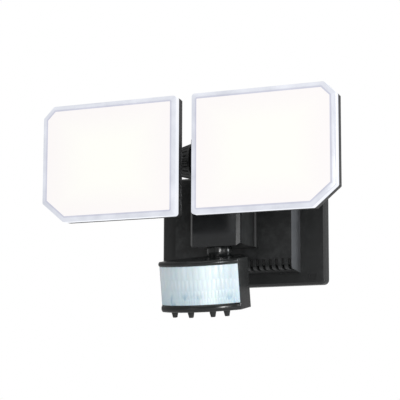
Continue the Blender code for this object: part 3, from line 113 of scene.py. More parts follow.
# ---- lock nuts -------------------------------------------------------------------------------------
NUT_RIBS = 24
NUT_TIP_SHARE = 0.75        # of the base radius
NUT_BORE_SHARE = 0.555
NUT_GROOVE_SHARE = 0.035
NUT_GRIP = (0.14, 0.86)     # where the ribbed stretch starts and ends, as shares of the length

# ---- screws ----------------------------------------------------------------------------------------
THREAD_PITCH = 0.0009
THREAD_ROOT_SHARE = 0.86
SCREW_POINT = 0.0005
SCREW_HEAD_RISE = 0.0022
RECESS_HALF_WIDTH = 0.12    # shares of the head's radius
RECESS_MOUTH = 0.62
RECESS_FLOOR = 0.20
RECESS_DEPTH = 0.62         # share of the head's height

# ---- lamp lens and LED board -----------------------------------------------------------------------
LENS_CORNER = 0.0011
FACE_RIM = 0.0006
GROOVE = (0.0009, 0.0005)   # width and depth of the groove round the lit face
LIP = (0.0007, 0.0004)
LED_COLUMNS = 9
LED_ROWS = 6
LED_SIZE = (0.0028, 0.0007, 0.0034)

# ---- sensor ----------------------------------------------------------------------------------------
BOTTOM_RIM = 0.0072
TOP_RIM = 0.0050
RIM_PROUD = 0.0021
RIM_END = 0.93              # share of the half angle where a rim starts to round off
LENS_PROUD = 0.0006         # the milky sheet in front of the bezel's curve
LENS_END_STEP = 0.0008
LENS_THICKNESS = 0.0005
LENS_RELIEF = 0.0004
KNOB_SKIRT = 0.0057
KNOB_RIBS = 14
KNOB_RIB_SHARE = 0.075
KNOB_TIP_SHARE = 0.714
KNOB_SHAFT_SHARE = 0.43
KNOB_SLOT = 0.0008


# ---- mesh helpers ----------------------------------------------------------------------------------
def piece(name, bm, body, materials, stands_for, smooth=SMOOTH_ANGLE):
    """Turns a bmesh into a finished piece: shaded, painted, riding on its body and standing for CAD nodes."""
    mesh = bpy.data.meshes.new(name)
    bmesh.ops.recalc_face_normals(bm, faces=bm.faces)
    bm.to_mesh(mesh)
    bm.free()
    mesh.shade_smooth()
    mesh.set_sharp_from_angle(angle=smooth)
    obj = bpy.data.objects.new(name, mesh)
    bpy.context.scene.collection.objects.link(obj)
    for material in materials:
        mesh.materials.append(material)
    weighted = obj.modifiers.new("weighted_normals", "WEIGHTED_NORMAL")
    weighted.keep_sharp = True
    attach(obj, body)
    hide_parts(*stands_for)
    return obj


def body_of(node):
    return NODES[node]["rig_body"]


def cad_bmesh(node, whole=True):
    """A CAD node's solid, by default with its flat faces whole again."""
    bm = bmesh.new()
    bm.from_mesh(NODES[node].data)
    bmesh.ops.remove_doubles(bm, verts=bm.verts, dist=WELD)
    if whole:
        bmesh.ops.dissolve_limit(bm, angle_limit=FLAT_ANGLE, verts=bm.verts, edges=bm.edges)
    for face in bm.faces:
        face.material_index = 0
    return bm


def sharp_edges(bm, shortest=0.0, angle=SHARP_ANGLE):
    return [
        e for e in bm.edges
        if len(e.link_faces) == 2 and e.calc_length() > shortest and e.calc_face_angle(0.0) > angle
    ]


def round_edges(bm, edges, radius, segments=2):
    bmesh.ops.bevel(
        bm, geom=edges, offset=radius, offset_type="OFFSET", segments=segments, profile=0.5,
        affect="EDGES", clamp_overlap=True, miter_outer="SHARP",
    )


def refined(node, material, edge=0.0004, segments=2, shortest=0.0, whole=True):
    """A CAD node's shape with its edges rounded as a mould or a casting leaves them."""
    bm = cad_bmesh(node, whole)
    round_edges(bm, sharp_edges(bm, shortest), edge, segments)
    return piece(node + "_finished", bm, body_of(node), [material], [node])


def lathe(bm, rings, centre, axis, steps=32, wobble=None, material=0):
    """Turns (distance along the axis, radius) rings round an axis, with closed ends."""
    axis = Vector(axis).normalized()
    across = axis.orthogonal().normalized()
    up = axis.cross(across)
    loops = []
    for along, radius in rings:
        loop = []
        for k in range(steps):
            angle = math.tau * k / steps
            reach = radius * (wobble(angle, along) if wobble else 1.0)
            spot = Vector(centre) + axis * along + (across * math.cos(angle) + up * math.sin(angle)) * reach
            loop.append(bm.verts.new(spot))
        loops.append(loop)
    faces = []
    for low, high in zip(loops, loops[1:]):
        for k in range(steps):
            n = (k + 1) % steps
            faces.append(bm.faces.new((low[k], low[n], high[n], high[k])))
    faces.append(bm.faces.new(loops[0][::-1]))
    faces.append(bm.faces.new(loops[-1]))
    for face in faces:
        face.material_index = material
    return faces


def slab(bm, low, high, edge=0.0, material=0):
    """A block between two corners, its edges rounded."""
    size = Vector(high) - Vector(low)
    middle = (Vector(high) + Vector(low)) / 2
    matrix = Matrix.Translation(middle) @ Matrix.Diagonal((*size, 1.0))
    made = bmesh.ops.create_cube(bm, size=1.0, matrix=matrix)
    faces = {f for v in made["verts"] for f in v.link_faces}
    for face in faces:
        face.material_index = material
    if edge:
        edges = {e for v in made["verts"] for e in v.link_edges}
        rounded = bmesh.ops.bevel(
            bm, geom=list(edges), offset=edge, offset_type="OFFSET", segments=2, profile=0.5, affect="EDGES",
            clamp_overlap=True,
        )
        for face in rounded["faces"]:
            face.material_index = material


def cut_by(obj, cutter_bm, use_self=False):
    """Subtracts a bmesh from a piece for good."""
    mesh = bpy.data.meshes.new("cutter")
    bmesh.ops.recalc_face_normals(cutter_bm, faces=cutter_bm.faces)
    cutter_bm.to_mesh(mesh)
    cutter_bm.free()
    cutter = bpy.data.objects.new("cutter", mesh)
    bpy.context.scene.collection.objects.link(cutter)
    boolean = obj.modifiers.new("cut", "BOOLEAN")
    boolean.operation = "DIFFERENCE"
    boolean.object = cutter
    boolean.use_self = use_self
    bpy.context.view_layer.update()
    evaluated = obj.evaluated_get(bpy.context.evaluated_depsgraph_get())
    baked = bpy.data.meshes.new_from_object(evaluated)
    obj.modifiers.clear()
    obj.data = baked
    baked.shade_smooth()
    baked.set_sharp_from_angle(angle=SMOOTH_ANGLE)
    bpy.data.objects.remove(cutter)


# ---- materials -------------------------------------------------------------------------------------
class Finish:
    """A procedural material under construction."""

    def __init__(self, name):
        self.material = bpy.data.materials.new(name)
        self.material.use_nodes = True
        self.nodes = self.material.node_tree.nodes
        self.links = self.material.node_tree.links
        self.shader = self.nodes["Principled BSDF"]
        coordinates = self.nodes.new("ShaderNodeTexCoord")
        self.place = coordinates.outputs["Object"]
        self.share = coordinates.outputs["Generated"]
        self.normal = None

    def set(self, **values):
        for name, value in values.items():
            self.shader.inputs[name.replace("_", " ")].default_value = value
        return self

    def noise(self, scale, detail=3.0, roughness=0.55, stretch=(1.0, 1.0, 1.0)):
        mapping = self.nodes.new("ShaderNodeMapping")
        mapping.inputs["Scale"].default_value = stretch
        self.links.new(self.place, mapping.inputs["Vector"])
        node = self.nodes.new("ShaderNodeTexNoise")
        node.inputs["Scale"].default_value = scale
        node.inputs["Detail"].default_value = detail
        node.inputs["Roughness"].default_value = roughness
        self.links.new(mapping.outputs["Vector"], node.inputs["Vector"])
        return node.outputs["Fac"]

    def spread(self, value, low, high, to_low=0.0, to_high=1.0, smooth=False):
        node = self.nodes.new("ShaderNodeMapRange")
        if smooth:
            node.interpolation_type = "SMOOTHSTEP"
        for name, number in zip(("From Min", "From Max", "To Min", "To Max"), (low, high, to_low, to_high)):
            node.inputs[name].default_value = number
        self.links.new(value, node.inputs["Value"])
        return node.outputs["Result"]

    def patches(self, scale, detail, to_low=0.0, to_high=1.0, stretch=(1.0, 1.0, 1.0)):
        """Soft patches of noise between two values."""
        return self.spread(self.noise(scale, detail, stretch=stretch), 0.3, 0.7, to_low, to_high)

    def maths(self, operation, first, second=None):
        node = self.nodes.new("ShaderNodeMath")
        node.operation = operation
        for socket, value in zip(node.inputs, (first, second)):
            if isinstance(value, (int, float)):
                socket.default_value = value
            elif value is not None:
                self.links.new(value, socket)
        return node.outputs["Value"]

    def parts(self, vector):
        node = self.nodes.new("ShaderNodeSeparateXYZ")
        self.links.new(vector, node.inputs["Vector"])
        return node.outputs

    def blend(self, factor, first, second):
        node = self.nodes.new("ShaderNodeMix")
        node.data_type = "RGBA"
        self.links.new(factor, node.inputs["Factor"])
        for socket, value in ((node.inputs[6], first), (node.inputs[7], second)):
            if isinstance(value, tuple):
                socket.default_value = (*value, 1.0)
            else:
                self.links.new(value, socket)
        return node.outputs[2]

    def worn_edges(self, low=0.52, high=0.60):
        geometry = self.nodes.new("ShaderNodeNewGeometry")
        return self.spread(geometry.outputs["Pointiness"], low, high)

    def bump(self, height, strength, depth):
        node = self.nodes.new("ShaderNodeBump")
        node.inputs["Strength"].default_value = strength
        node.inputs["Distance"].default_value = depth
        self.links.new(height, node.inputs["Height"])
        if self.normal:
            self.links.new(self.normal, node.inputs["Normal"])
        self.normal = node.outputs["Normal"]

    def feed(self, socket, value):
        self.links.new(value, self.shader.inputs[socket])

    def done(self):
        if self.normal:
            self.links.new(self.normal, self.shader.inputs["Normal"])
        return self.material


def moulded_plastic(name, dark, light, roughness, grain=0.25, gloss=0.5):
    """Black moulded plastic: a fine spark-eroded grain, faint cloudy patches and rubbed edges."""
    finish = Finish(name).set(Specular_IOR_Level=gloss)
    clouds = finish.patches(26, 4)
    colour = finish.blend(clouds, dark, light)
    rubbed = tuple(min(1.0, c * 2.2 + 0.012) for c in light)
    wear = finish.maths("MULTIPLY", finish.worn_edges(), finish.spread(finish.noise(160, 3), 0.4, 0.7))
    finish.feed("Base Color", finish.blend(finish.maths("MULTIPLY", wear, 0.5), colour, rubbed))
    finish.feed("Roughness", finish.patches(60, 5, roughness - 0.03, roughness + 0.04))
    finish.bump(finish.noise(420, 3), grain, 0.00005)
    finish.bump(finish.noise(2600, 2), grain, 0.00003)
    return finish.done()


def powder_coat(name, dark, light, roughness):
    """Powder-coated casting: faint orange peel, with bare metal just showing on sharp edges."""
    finish = Finish(name).set(Metallic=0.0, Specular_IOR_Level=0.5)
    clouds = finish.patches(34, 4)
    colour = finish.blend(clouds, dark, light)
    spots = finish.spread(finish.noise(380, 3), 0.5, 0.62)
    chips = finish.maths("MULTIPLY", finish.worn_edges(0.54, 0.62), spots)
    finish.feed("Base Color", finish.blend(finish.maths("MULTIPLY", chips, 0.5), colour, (0.16, 0.16, 0.165)))
    finish.feed("Roughness", finish.patches(90, 4, roughness - 0.06, roughness + 0.08))
    finish.bump(finish.noise(620, 2), 0.18, 0.00010)
    finish.bump(finish.noise(70, 3), 0.05, 0.0003)
    return finish.done()


def lit_diffuser(name, middle, rim, glow, fade):
    """Opal lens lit from behind: even in the middle, a shade warmer towards its rim, with a fine skin."""
    finish = Finish(name).set(Roughness=0.45, Specular_IOR_Level=0.25, Emission_Strength=glow)
    x, _, z = finish.parts(finish.share)
    away = finish.maths(
        "MAXIMUM",
        finish.maths("ABSOLUTE", finish.maths("SUBTRACT", x, 0.5)),
        finish.maths("ABSOLUTE", finish.maths("SUBTRACT", z, 0.5)),
    )
    edge = finish.spread(away, fade, 0.5, smooth=True)
    uneven = finish.patches(18, 3, -0.04, 0.04)
    share = finish.maths("ADD", edge, uneven)
    colour = finish.blend(share, middle, rim)
    finish.feed("Emission Color", colour)
    finish.feed("Base Color", finish.blend(share, (0.06, 0.06, 0.06), (0.09, 0.09, 0.10)))
    finish.bump(finish.noise(1500, 1), 0.15, 0.00008)
    return finish.done()


def opal_edge(name, bright, dim, glow, roughness):
    """The lens's clear moulded border, which light from the face leaks into unevenly."""
    finish = Finish(name).set(Specular_IOR_Level=0.5, Emission_Strength=glow)
    leak = finish.patches(40, 3, stretch=(1.0, 3.0, 1.0))
    finish.feed("Emission Color", finish.blend(leak, bright, dim))
    finish.feed("Base Color", finish.blend(leak, (0.05, 0.05, 0.06), (0.07, 0.07, 0.08)))
    finish.feed("Roughness", finish.patches(120, 3, roughness - 0.05, roughness + 0.05))
    finish.bump(finish.noise(700, 2), 0.12, 0.00008)
    return finish.done()


def milky_lens(name):
    """Frosted sheet that focuses heat on the detector: bluish milk, with a painted highlight in a whiter band
    across it and a faint painted glow.
    """
    # The faint emission in the sheet's own tint is painted light: the sensor lens is no lamp.
    finish = Finish(name).set(
        Specular_IOR_Level=0.5, Subsurface_Weight=0.25, Subsurface_Scale=0.004,
        Emission_Strength=0.12, Coat_Weight=0.25, Coat_Roughness=0.18,
    )
    across, _, up = finish.parts(finish.share)
    streaks = finish.spread(finish.noise(330, 3, stretch=(1.0, 1.0, 0.05)), 0.35, 0.68)
    broad = finish.spread(finish.noise(60, 2, stretch=(1.0, 1.0, 0.12)), 0.35, 0.65)
    lower = finish.spread(up, 0.62, 0.05, smooth=True)
    tint = finish.blend(lower, (0.66, 0.68, 0.71), (0.50, 0.58, 0.64))
    tint = finish.blend(finish.maths("MULTIPLY", streaks, 0.30), tint, (0.72, 0.74, 0.76))
    tint = finish.blend(finish.maths("MULTIPLY", broad, 0.50), tint, (0.42, 0.47, 0.51))
    cells = finish.spread(finish.noise(150, 1, stretch=(1.0, 1.0, 0.35)), 0.53, 0.60)
    low_cells = finish.maths("MULTIPLY", cells, finish.spread(up, 0.34, 0.14, smooth=True))
    tint = finish.blend(finish.maths("MULTIPLY", low_cells, 0.75), tint, (0.27, 0.38, 0.46))
    # Painted highlight: a whiter band across the sheet, right of its middle.
    painted_highlight_band = finish.maths("MULTIPLY", finish.spread(across, 0.50, 0.66, smooth=True),
                          finish.spread(across, 0.84, 0.72, smooth=True))
    tint = finish.blend(finish.maths("MULTIPLY", painted_highlight_band, 0.65), tint, (0.82, 0.83, 0.83))
    finish.feed("Base Color", tint)
    finish.feed("Emission Color", tint)
    finish.feed("Roughness", finish.spread(streaks, 0.0, 1.0, 0.28, 0.42))
    finish.bump(finish.noise(500, 2, stretch=(1.0, 1.0, 0.03)), 0.25, 0.0002)
    finish.bump(finish.noise(1800, 2), 0.10, 0.00006)
    return finish.done()


def brushed_metal(name, dark, light, roughness, stretch=(1.0, 1.0, 12.0)):
    """Zinc-plated steel: fine lines from its rolling, with a mottled plating."""
    finish = Finish(name).set(Metallic=1.0)
    lines = finish.noise(700, 3, stretch=stretch)
    mottle = finish.patches(90, 4)
    finish.feed("Base Color", finish.blend(mottle, dark, light))
    finish.feed("Roughness", finish.patches(240, 3, roughness - 0.07, roughness + 0.10))
    finish.bump(lines, 0.18, 0.00006)
    return finish.done()


def rubber(name):
    finish = Finish(name).set(Specular_IOR_Level=0.3)
    finish.feed("Base Color", finish.blend(finish.patches(50, 4), (0.012,) * 3, (0.026,) * 3))
    finish.feed("Roughness", finish.patches(140, 3, 0.72, 0.92))
    finish.bump(finish.noise(900, 3), 0.35, 0.00012)
    return finish.done()


def printed_board(name, mask, copper):
    """A circuit board: lacquer over the copper tracks that run both ways under it."""
    finish = Finish(name).set(Specular_IOR_Level=0.5)
    x, _, z = finish.parts(finish.place)
    tracks = None
    for axis, pitch in ((x, 0.0026), (z, 0.0034)):
        wave = finish.maths("FRACT", finish.maths("DIVIDE", axis, pitch))
        line = finish.maths("LESS_THAN", wave, 0.30)
        tracks = line if tracks is None else finish.maths("MAXIMUM", tracks, line)
    broken = finish.maths("GREATER_THAN", finish.noise(120, 1), 0.5)
    tracks = finish.maths("MULTIPLY", tracks, broken)
    lacquer = finish.blend(finish.patches(60, 3), mask, tuple(c * 1.35 for c in mask))
    finish.feed("Base Color", finish.blend(tracks, lacquer, copper))
    finish.feed("Roughness", finish.spread(tracks, 0.0, 1.0, 0.38, 0.28))
    finish.bump(tracks, 0.4, 0.00008)
    return finish.done()


def pale_plastic(name, light, dark):
    finish = Finish(name).set(Specular_IOR_Level=0.4, Subsurface_Weight=0.1, Subsurface_Scale=0.001)
    finish.feed("Base Color", finish.blend(finish.patches(40, 4), light, dark))
    finish.feed("Roughness", finish.patches(120, 3, 0.42, 0.60))
    finish.bump(finish.noise(800, 2), 0.2, 0.00008)
    return finish.done()


def case_painted_shade(name):
    """Aluminium case with flow marks, its grey painted dark as the shade inside the canopy; bare, it would be
    much lighter.
    """
    finish = Finish(name).set(Metallic=0.9)
    finish.feed("Base Color", finish.blend(finish.patches(30, 5), (0.10,) * 3, (0.16,) * 3))
    finish.feed("Roughness", finish.patches(110, 4, 0.40, 0.62))
    finish.bump(finish.noise(520, 3), 0.25, 0.00012)
    return finish.done()


HOUSING = moulded_plastic(
    "satin_black_plastic", (0.011, 0.0118, 0.0120), (0.014, 0.0148, 0.0150), 0.42, 0.20, 0.42
)
GLOSSY = moulded_plastic(
    "glossy_black_plastic", (0.012, 0.013, 0.014), (0.015, 0.016, 0.017), 0.17, 0.05, 0.6
)
SENSOR_BLACK = moulded_plastic(
    "sensor_black_plastic", (0.007, 0.008, 0.008), (0.010, 0.011, 0.011), 0.18, 0.05, 0.45
)
# Rougher and coarser-grained than the housing, and about five times lighter: that lightness is painted light
# on the bay's side walls.
COARSE_PAINTED_LIGHT = moulded_plastic(
    "coarse_plastic_with_painted_light", (0.050, 0.053, 0.058), (0.066, 0.070, 0.076), 0.50, 0.30, 0.8
)
CAST = powder_coat("black_powder_coat", (0.012, 0.012, 0.0125), (0.021, 0.021, 0.020), 0.38)
SCREW_BLACK = powder_coat("blackened_screw", (0.016,) * 3, (0.030,) * 3, 0.32)
LIT_FACE = lit_diffuser("lit_face", (0.925, 0.922, 0.875), (0.870, 0.835, 0.822), 1.0, 0.12)
LIT_RIM = opal_edge("lit_face_rim", (0.50, 0.51, 0.60), (0.58, 0.59, 0.68), 1.0, 0.35)
LIT_BEVEL = opal_edge("lens_bevel", (0.58, 0.60, 0.66), (0.72, 0.74, 0.80), 1.0, 0.30)
LIT_SIDE = opal_edge("lens_side", (0.84, 0.87, 0.94), (0.90, 0.91, 0.95), 0.95, 0.35)
MILKY = milky_lens("milky_lens")
ZINC = brushed_metal("zinc_plated_steel", (0.50, 0.51, 0.53), (0.66, 0.67, 0.68), 0.34)
RUBBER = rubber("black_rubber")
BOARD = printed_board("green_board", (0.012, 0.085, 0.035), (0.10, 0.26, 0.08))
LED_BOARD = printed_board("white_led_board", (0.72, 0.72, 0.70), (0.60, 0.58, 0.50))
PALE = pale_plastic("white_plastic", (0.80, 0.80, 0.77), (0.72, 0.72, 0.69))
# The driver case's dark grey is painted shade.
CASE = case_painted_shade("case_painted_shade")


# ---- canopy, gasket, bracket -----------------------------------------------------------------------
def build_canopy():
    canopy = cad_bmesh("canopy")
    low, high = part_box("canopy")
    front = low.y + 0.0010
    round_edges(canopy, sharp_edges(canopy, SHORT_EDGE), 0.00035)
    # The bay's outward side faces take the lighter coarse material, which paints light on them.
    for face in canopy.faces:
        normal = face.normal
        middle = face.calc_center_median()
        on_bay_side = abs(normal.x) > 0.9 and abs(middle.x) < high.x - 0.02 and middle.y < low.y * 0.5
        if on_bay_side and face.calc_area() > 1e-4 and normal.x * middle.x > 0 and middle.y > front:
            face.material_index = 1
    piece("canopy_shell", canopy, "base", [HOUSING, COARSE_PAINTED_LIGHT], ["canopy"])


def build_back_pieces():
    refined("wall_gasket", RUBBER, 0.0005)
    refined("mounting_bracket", ZINC, 0.0003)
    refined("terminal_block", PALE, 0.0004)
    low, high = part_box("led_driver")
    build_driver_case(low, high)
    build_vent_shade_sheet(low, high)


def build_driver_case(low, high):
    """The driver's case, with ribs round its back, top and bottom."""
    bm = bmesh.new()
    slab(bm, low + Vector((0.0, 0.0, CASE_RIB)), high - Vector((0.0, CASE_RIB, CASE_RIB)), 0.0010)
    rim = 0.0002
    for k in range(CASE_RIB_COUNT):
        x = low.x + (high.x - low.x) * (k + 0.5) / CASE_RIB_COUNT
        slab(
            bm, (x - CASE_RIB / 2, low.y + CASE_RIB, low.z + rim),
            (x + CASE_RIB / 2, high.y - CASE_RIB / 2, high.z - rim), rim,
        )
    piece("led_driver_case", bm, "base", [CASE], ["led_driver"])


def build_vent_shade_sheet(low, high):
    """A black sheet folded round the driver's front and underside, behind the vents: painted shade that keeps
    the vents dark.
    """
    front = low.y - SHEET_GAP
    under = low.z - SHEET_GAP
    top = high.z - SHEET_TOP_DROP
    back = high.y - SHEET_BACK_STEP
    edge = 0.0001
    bm = bmesh.new()
    slab(bm, (-SHEET_REACH, front - SHEET, under - SHEET), (SHEET_REACH, front, top), edge)
    slab(bm, (-SHEET_REACH, front, under - SHEET), (SHEET_REACH, back, under), edge)
    shade_sheet_back = VENT_SHADE_SHEET_Y + SHEET
    slab(bm, (-SHEET_REACH, VENT_SHADE_SHEET_Y, VENT_SHADE_SHEET_FOOT), (SHEET_REACH, shade_sheet_back, under), edge)
    for end in (-1, 1):
        side = sorted((end * SHEET_REACH, end * (SHEET_REACH - SHEET)))
        slab(bm, (side[0], front, under), (side[1], back, top), edge)
    # This sheet is painted shade: no such sheet is in the lamp.
    piece("vent_shade_sheet", bm, "base", [RUBBER], [])


def build_control_board():
    """The board with its relay, capacitors, coil and chips on the side that faces the wall."""
    low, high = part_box("control_board")
    refined("control_board", BOARD, 0.00015)
    bm = bmesh.new()
    top = high.y + 0.0001
    width = high.x - low.x
    height = high.z - low.z
    # each is its place across and up, its width and height, all as shares of the board, and its rise
    blocks = [
        (0.08, 0.30, 0.15, 0.27, 0.0100), (0.26, 0.34, 0.10, 0.12, 0.0012), (0.26, 0.70, 0.07, 0.08, 0.0012),
        (0.78, 0.62, 0.12, 0.26, 0.0085), (0.80, 0.20, 0.08, 0.16, 0.0015), (0.62, 0.74, 0.05, 0.10, 0.0020),
    ]
    for u, v, du, dv, rise in blocks:
        corner = Vector((low.x + width * u, top, low.z + height * v))
        slab(bm, corner, corner + Vector((width * du, rise, height * dv)), 0.0003)
    # the round parts: place across and up, radius and rise
    for u, v, radius, rise in (
        (0.14, 0.76, 0.0042, 0.0110), (0.22, 0.80, 0.0030, 0.0085), (0.93, 0.32, 0.0034, 0.0095),
        (0.66, 0.32, 0.0026, 0.0070), (0.72, 0.84, 0.0022, 0.0060),
    ):
        centre = (low.x + width * u, top, low.z + height * v)
        rings = [
            (0, radius), (rise - 0.0006, radius), (rise - 0.0002, radius * 0.93),
            (rise - 0.0005, radius * 0.78),
        ]
        lathe(bm, rings, centre, (0, 1, 0), 24, material=1)
    piece("control_board_parts", bm, "base", [HOUSING, CASE], [])


# ---- column ----------------------------------------------------------------------------------------
def build_column():
    refined("column_body", HOUSING, 0.0004, shortest=SHORT_EDGE)
    refined("column_cover", GLOSSY, 0.0005, 3, shortest=SHORT_EDGE)


# ---- arms ------------------------------------------------------------------------------------------
def build_arm(label):
    refined(label + "_arm", CAST, 0.0003, shortest=SHORT_CAST_EDGE)
    refined(label + "_port_seal", RUBBER, 0.0002)
    refined(label + "_knuckle", CAST, 0.0005)
    low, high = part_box(label + "_lock_nut")
    side = -1 if label == "left" else 1
    start = low.x if side > 0 else high.x
    centre = Vector((start, (low.y + high.y) / 2, (low.z + high.z) / 2))
    base = (high.z - low.z) / 2
    length = high.x - low.x
    tip = base * NUT_TIP_SHARE
    bore = base * NUT_BORE_SHARE
    first, last = NUT_GRIP

    def gripped(angle, along):
        in_groove = first + 0.01 < along / length < last - 0.01 and math.cos(angle * NUT_RIBS) < 0
        return 1.0 - (NUT_GROOVE_SHARE if in_groove else 0.0)

    def taper(share):
        return length * share, base - (base - tip) * share

    rings = [(0.0, base - 0.0006), (0.0006, base), taper(first)]
    rings += [taper(share) for share in (first + 0.02, 0.5, last - 0.02)]
    rings += [taper(last), (length - 0.0008, tip + 0.0003), (length, tip - 0.0006)]
    rings += [(length, bore), (0.0, bore)]
    bm = bmesh.new()
    faces = lathe(bm, rings, centre, (side, 0, 0), NUT_RIBS * 6, gripped)
    ends = faces[-2:]
    bmesh.ops.delete(bm, geom=ends, context="FACES_ONLY")
    bmesh.ops.bridge_loops(bm, edges=[e for e in bm.edges if e.is_boundary])
    piece(label + "_grip_nut", bm, "base", [HOUSING], [label + "_lock_nut"])


# ---- fasteners -------------------------------------------------------------------------------------
def build_screw(node, axis, material, shank_share):
    """A pan-head screw along an axis, its head at the axis's far end, with a cross recess cut in it."""
    low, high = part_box(node)
    axis = Vector(axis).normalized()
    size = high - low
    length = abs(size.dot(axis))
    head = max(abs(size[k]) for k in range(3) if abs(axis[k]) < 0.5) / 2
    shank = head * shank_share
    start = (low + high) / 2 - axis * length / 2
    rise = min(SCREW_HEAD_RISE, length * 0.3)
    base = length - rise
    rings = [(0.0, shank * 0.7), (SCREW_POINT, shank)]
    for k in range(1, int((base - 2 * SCREW_POINT) / THREAD_PITCH)):
        rings.append((SCREW_POINT + THREAD_PITCH * k, shank if k % 2 else shank * THREAD_ROOT_SHARE))
    rings += [(base, shank), (base, head), (base + rise * 0.55, head), (base + rise * 0.85, head * 0.84)]
    rings += [(length, head * 0.55)]
    bm = bmesh.new()
    lathe(bm, rings, start, axis, 28)
    made = piece(node + "_detailed", bm, body_of(node), [material], [node])
    cut_by(made, cross_cutter(start + axis * length, axis, head, rise), use_self=True)


def cross_cutter(tip, axis, head, rise):
    """Two crossed wedges that narrow as they go down into a screw's head."""
    bm = bmesh.new()
    across = axis.orthogonal().normalized()
    over = 0.0004
    for turn in (0.0, math.pi / 2):
        along = Matrix.Rotation(turn, 3, axis) @ across
        beside = axis.cross(along)
        spots = []
        for reach, height in ((head * RECESS_FLOOR, -rise * RECESS_DEPTH), (head * RECESS_MOUTH, over)):
            for a, b in ((-1, -1), (1, -1), (1, 1), (-1, 1)):
                flat = along * reach * a + beside * head * RECESS_HALF_WIDTH * b
                spots.append(bm.verts.new(tip + flat + axis * height))
        bm.faces.new(spots[:4][::-1])
        bm.faces.new(spots[4:])
        for k in range(4):
            bm.faces.new((spots[k], spots[(k + 1) % 4], spots[4 + (k + 1) % 4], spots[4 + k]))
    return bm


def build_fasteners():
    for label in SIDES:
        build_screw(label + "_canopy_screw", (0, -1, 0), SCREW_BLACK, 0.5)
        build_screw(label + "_cover_screw", (0, -1, 0), SCREW_BLACK, 0.5)
        build_screw(label + "_column_screw", (0, 1, 0), ZINC, 0.5)
        side = -1 if label == "left" else 1
        build_screw(label + "_pan_bolt", (0, 0, 1), ZINC, 0.56)
        build_screw(label + "_head_tilt_bolt", (side, 0, 0), ZINC, 0.48)
        refined(label + "_pan_nut", ZINC, 0.0003)
        refined(label + "_head_tilt_nut", ZINC, 0.0003)
        for number in range(1, 5):
            build_screw(f"{label}_head_screw_{number}", (0, 1, 0), ZINC, 0.5)


# ---- lamp heads ------------------------------------------------------------------------------------
def build_head(label):
    body = label + "_head"
    refined(body + "_housing", CAST, 0.0006, 3, shortest=SHORT_CAST_EDGE)
    refined(body + "_lens_seal", RUBBER, 0.0002)
    build_lens(body)
    build_led_board(body)
    NODES[body + "_diffuser"].data.materials.clear()
    NODES[body + "_diffuser"].data.materials.append(PALE)


def build_lens(body):
    """The opal lens: a flat lit face inside a narrow groove, a bevelled clear border and clear sides."""
    bm = cad_bmesh(body + "_lens")
    low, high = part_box(body + "_lens")
    front = low.y
    middle = (low + high) / 2
    upright = [e for e in sharp_edges(bm) if abs((e.verts[0].co - e.verts[1].co).normalized().y) > 0.25]
    round_edges(bm, upright, LENS_CORNER, 4)
    in_front = [f for f in bm.faces if f.normal.y < -0.99 and f.calc_center_median().y < front + 1e-4]
    face = max(in_front, key=lambda f: f.calc_area())
    for f in bm.faces:
        outward = f.normal.dot(f.calc_center_median() - middle) > 0
        f.material_index = 2 if outward and f.normal.y < -0.2 else 3
    face.material_index = 0
    for (width, depth), index in (((FACE_RIM, 0.0), 2), ((GROOVE[0], -GROOVE[1]), 1), (LIP, 1)):
        ring = bmesh.ops.inset_region(bm, faces=[face], thickness=width, depth=depth, use_even_offset=True)
        for f in ring["faces"]:
            f.material_index = index
    piece(body + "_opal_lens", bm, body, [LIT_FACE, LIT_RIM, LIT_BEVEL, LIT_SIDE],
          [body + "_lens"], math.radians(50))


def build_led_board(body):
    """White aluminium board with a grid of LED packages behind the diffuser."""
    refined(body + "_led_board", LED_BOARD, 0.0001)
    low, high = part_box(body + "_led_board")
    bm = bmesh.new()
    width, rise, height = LED_SIZE
    top = low.y - 0.0001
    for i in range(LED_COLUMNS):
        for j in range(LED_ROWS):
            x = low.x + (high.x - low.x) * (i + 1) / (LED_COLUMNS + 1)
            z = low.z + (high.z - low.z) * (j + 1) / (LED_ROWS + 1)
            low_corner = (x - width / 2, top - rise, z - height / 2)
            slab(bm, low_corner, (x + width / 2, top, z + height / 2), 0.0002)
    piece(body + "_led_packages", bm, body, [PALE], [])


# ---- sensor ----------------------------------------------------------------------------------------
PITCH = math.atan2(-JOINTS["duration_turn"]["axis"][1], JOINTS["duration_turn"]["axis"][2])
BALL_CENTRE = Vector(JOINTS["sensor_tilt"]["pos_m"])
TO_SENSOR = Matrix.Rotation(-PITCH, 4, "X") @ Matrix.Translation(-BALL_CENTRE)
FROM_SENSOR = TO_SENSOR.inverted()


def sensor_box(node):
    """A sensor node's lowest and highest corners in the sensor's own upright frame."""
    spots = [TO_SENSOR @ v.co for v in NODES[node].data.vertices]
    low = Vector([min(s[k] for s in spots) for k in range(3)])
    high = Vector([max(s[k] for s in spots) for k in range(3)])
    return low, high


def bezel_arc():
    """The bezel's corners, and its front's radius, centre and half angle, in the sensor's own frame."""
    low, high = sensor_box("sensor_bezel")
    half = (high.x - low.x) / 2
    spots = [TO_SENSOR @ v.co for v in NODES["sensor_bezel"].data.vertices]
    outer_end = min(s.y for s in spots if abs(s.x) > half - 1e-5)
    rise = outer_end - low.y
    radius = (half**2 + rise**2) / (2 * rise)
    return low, high, radius, low.y + radius, math.asin(half / radius)


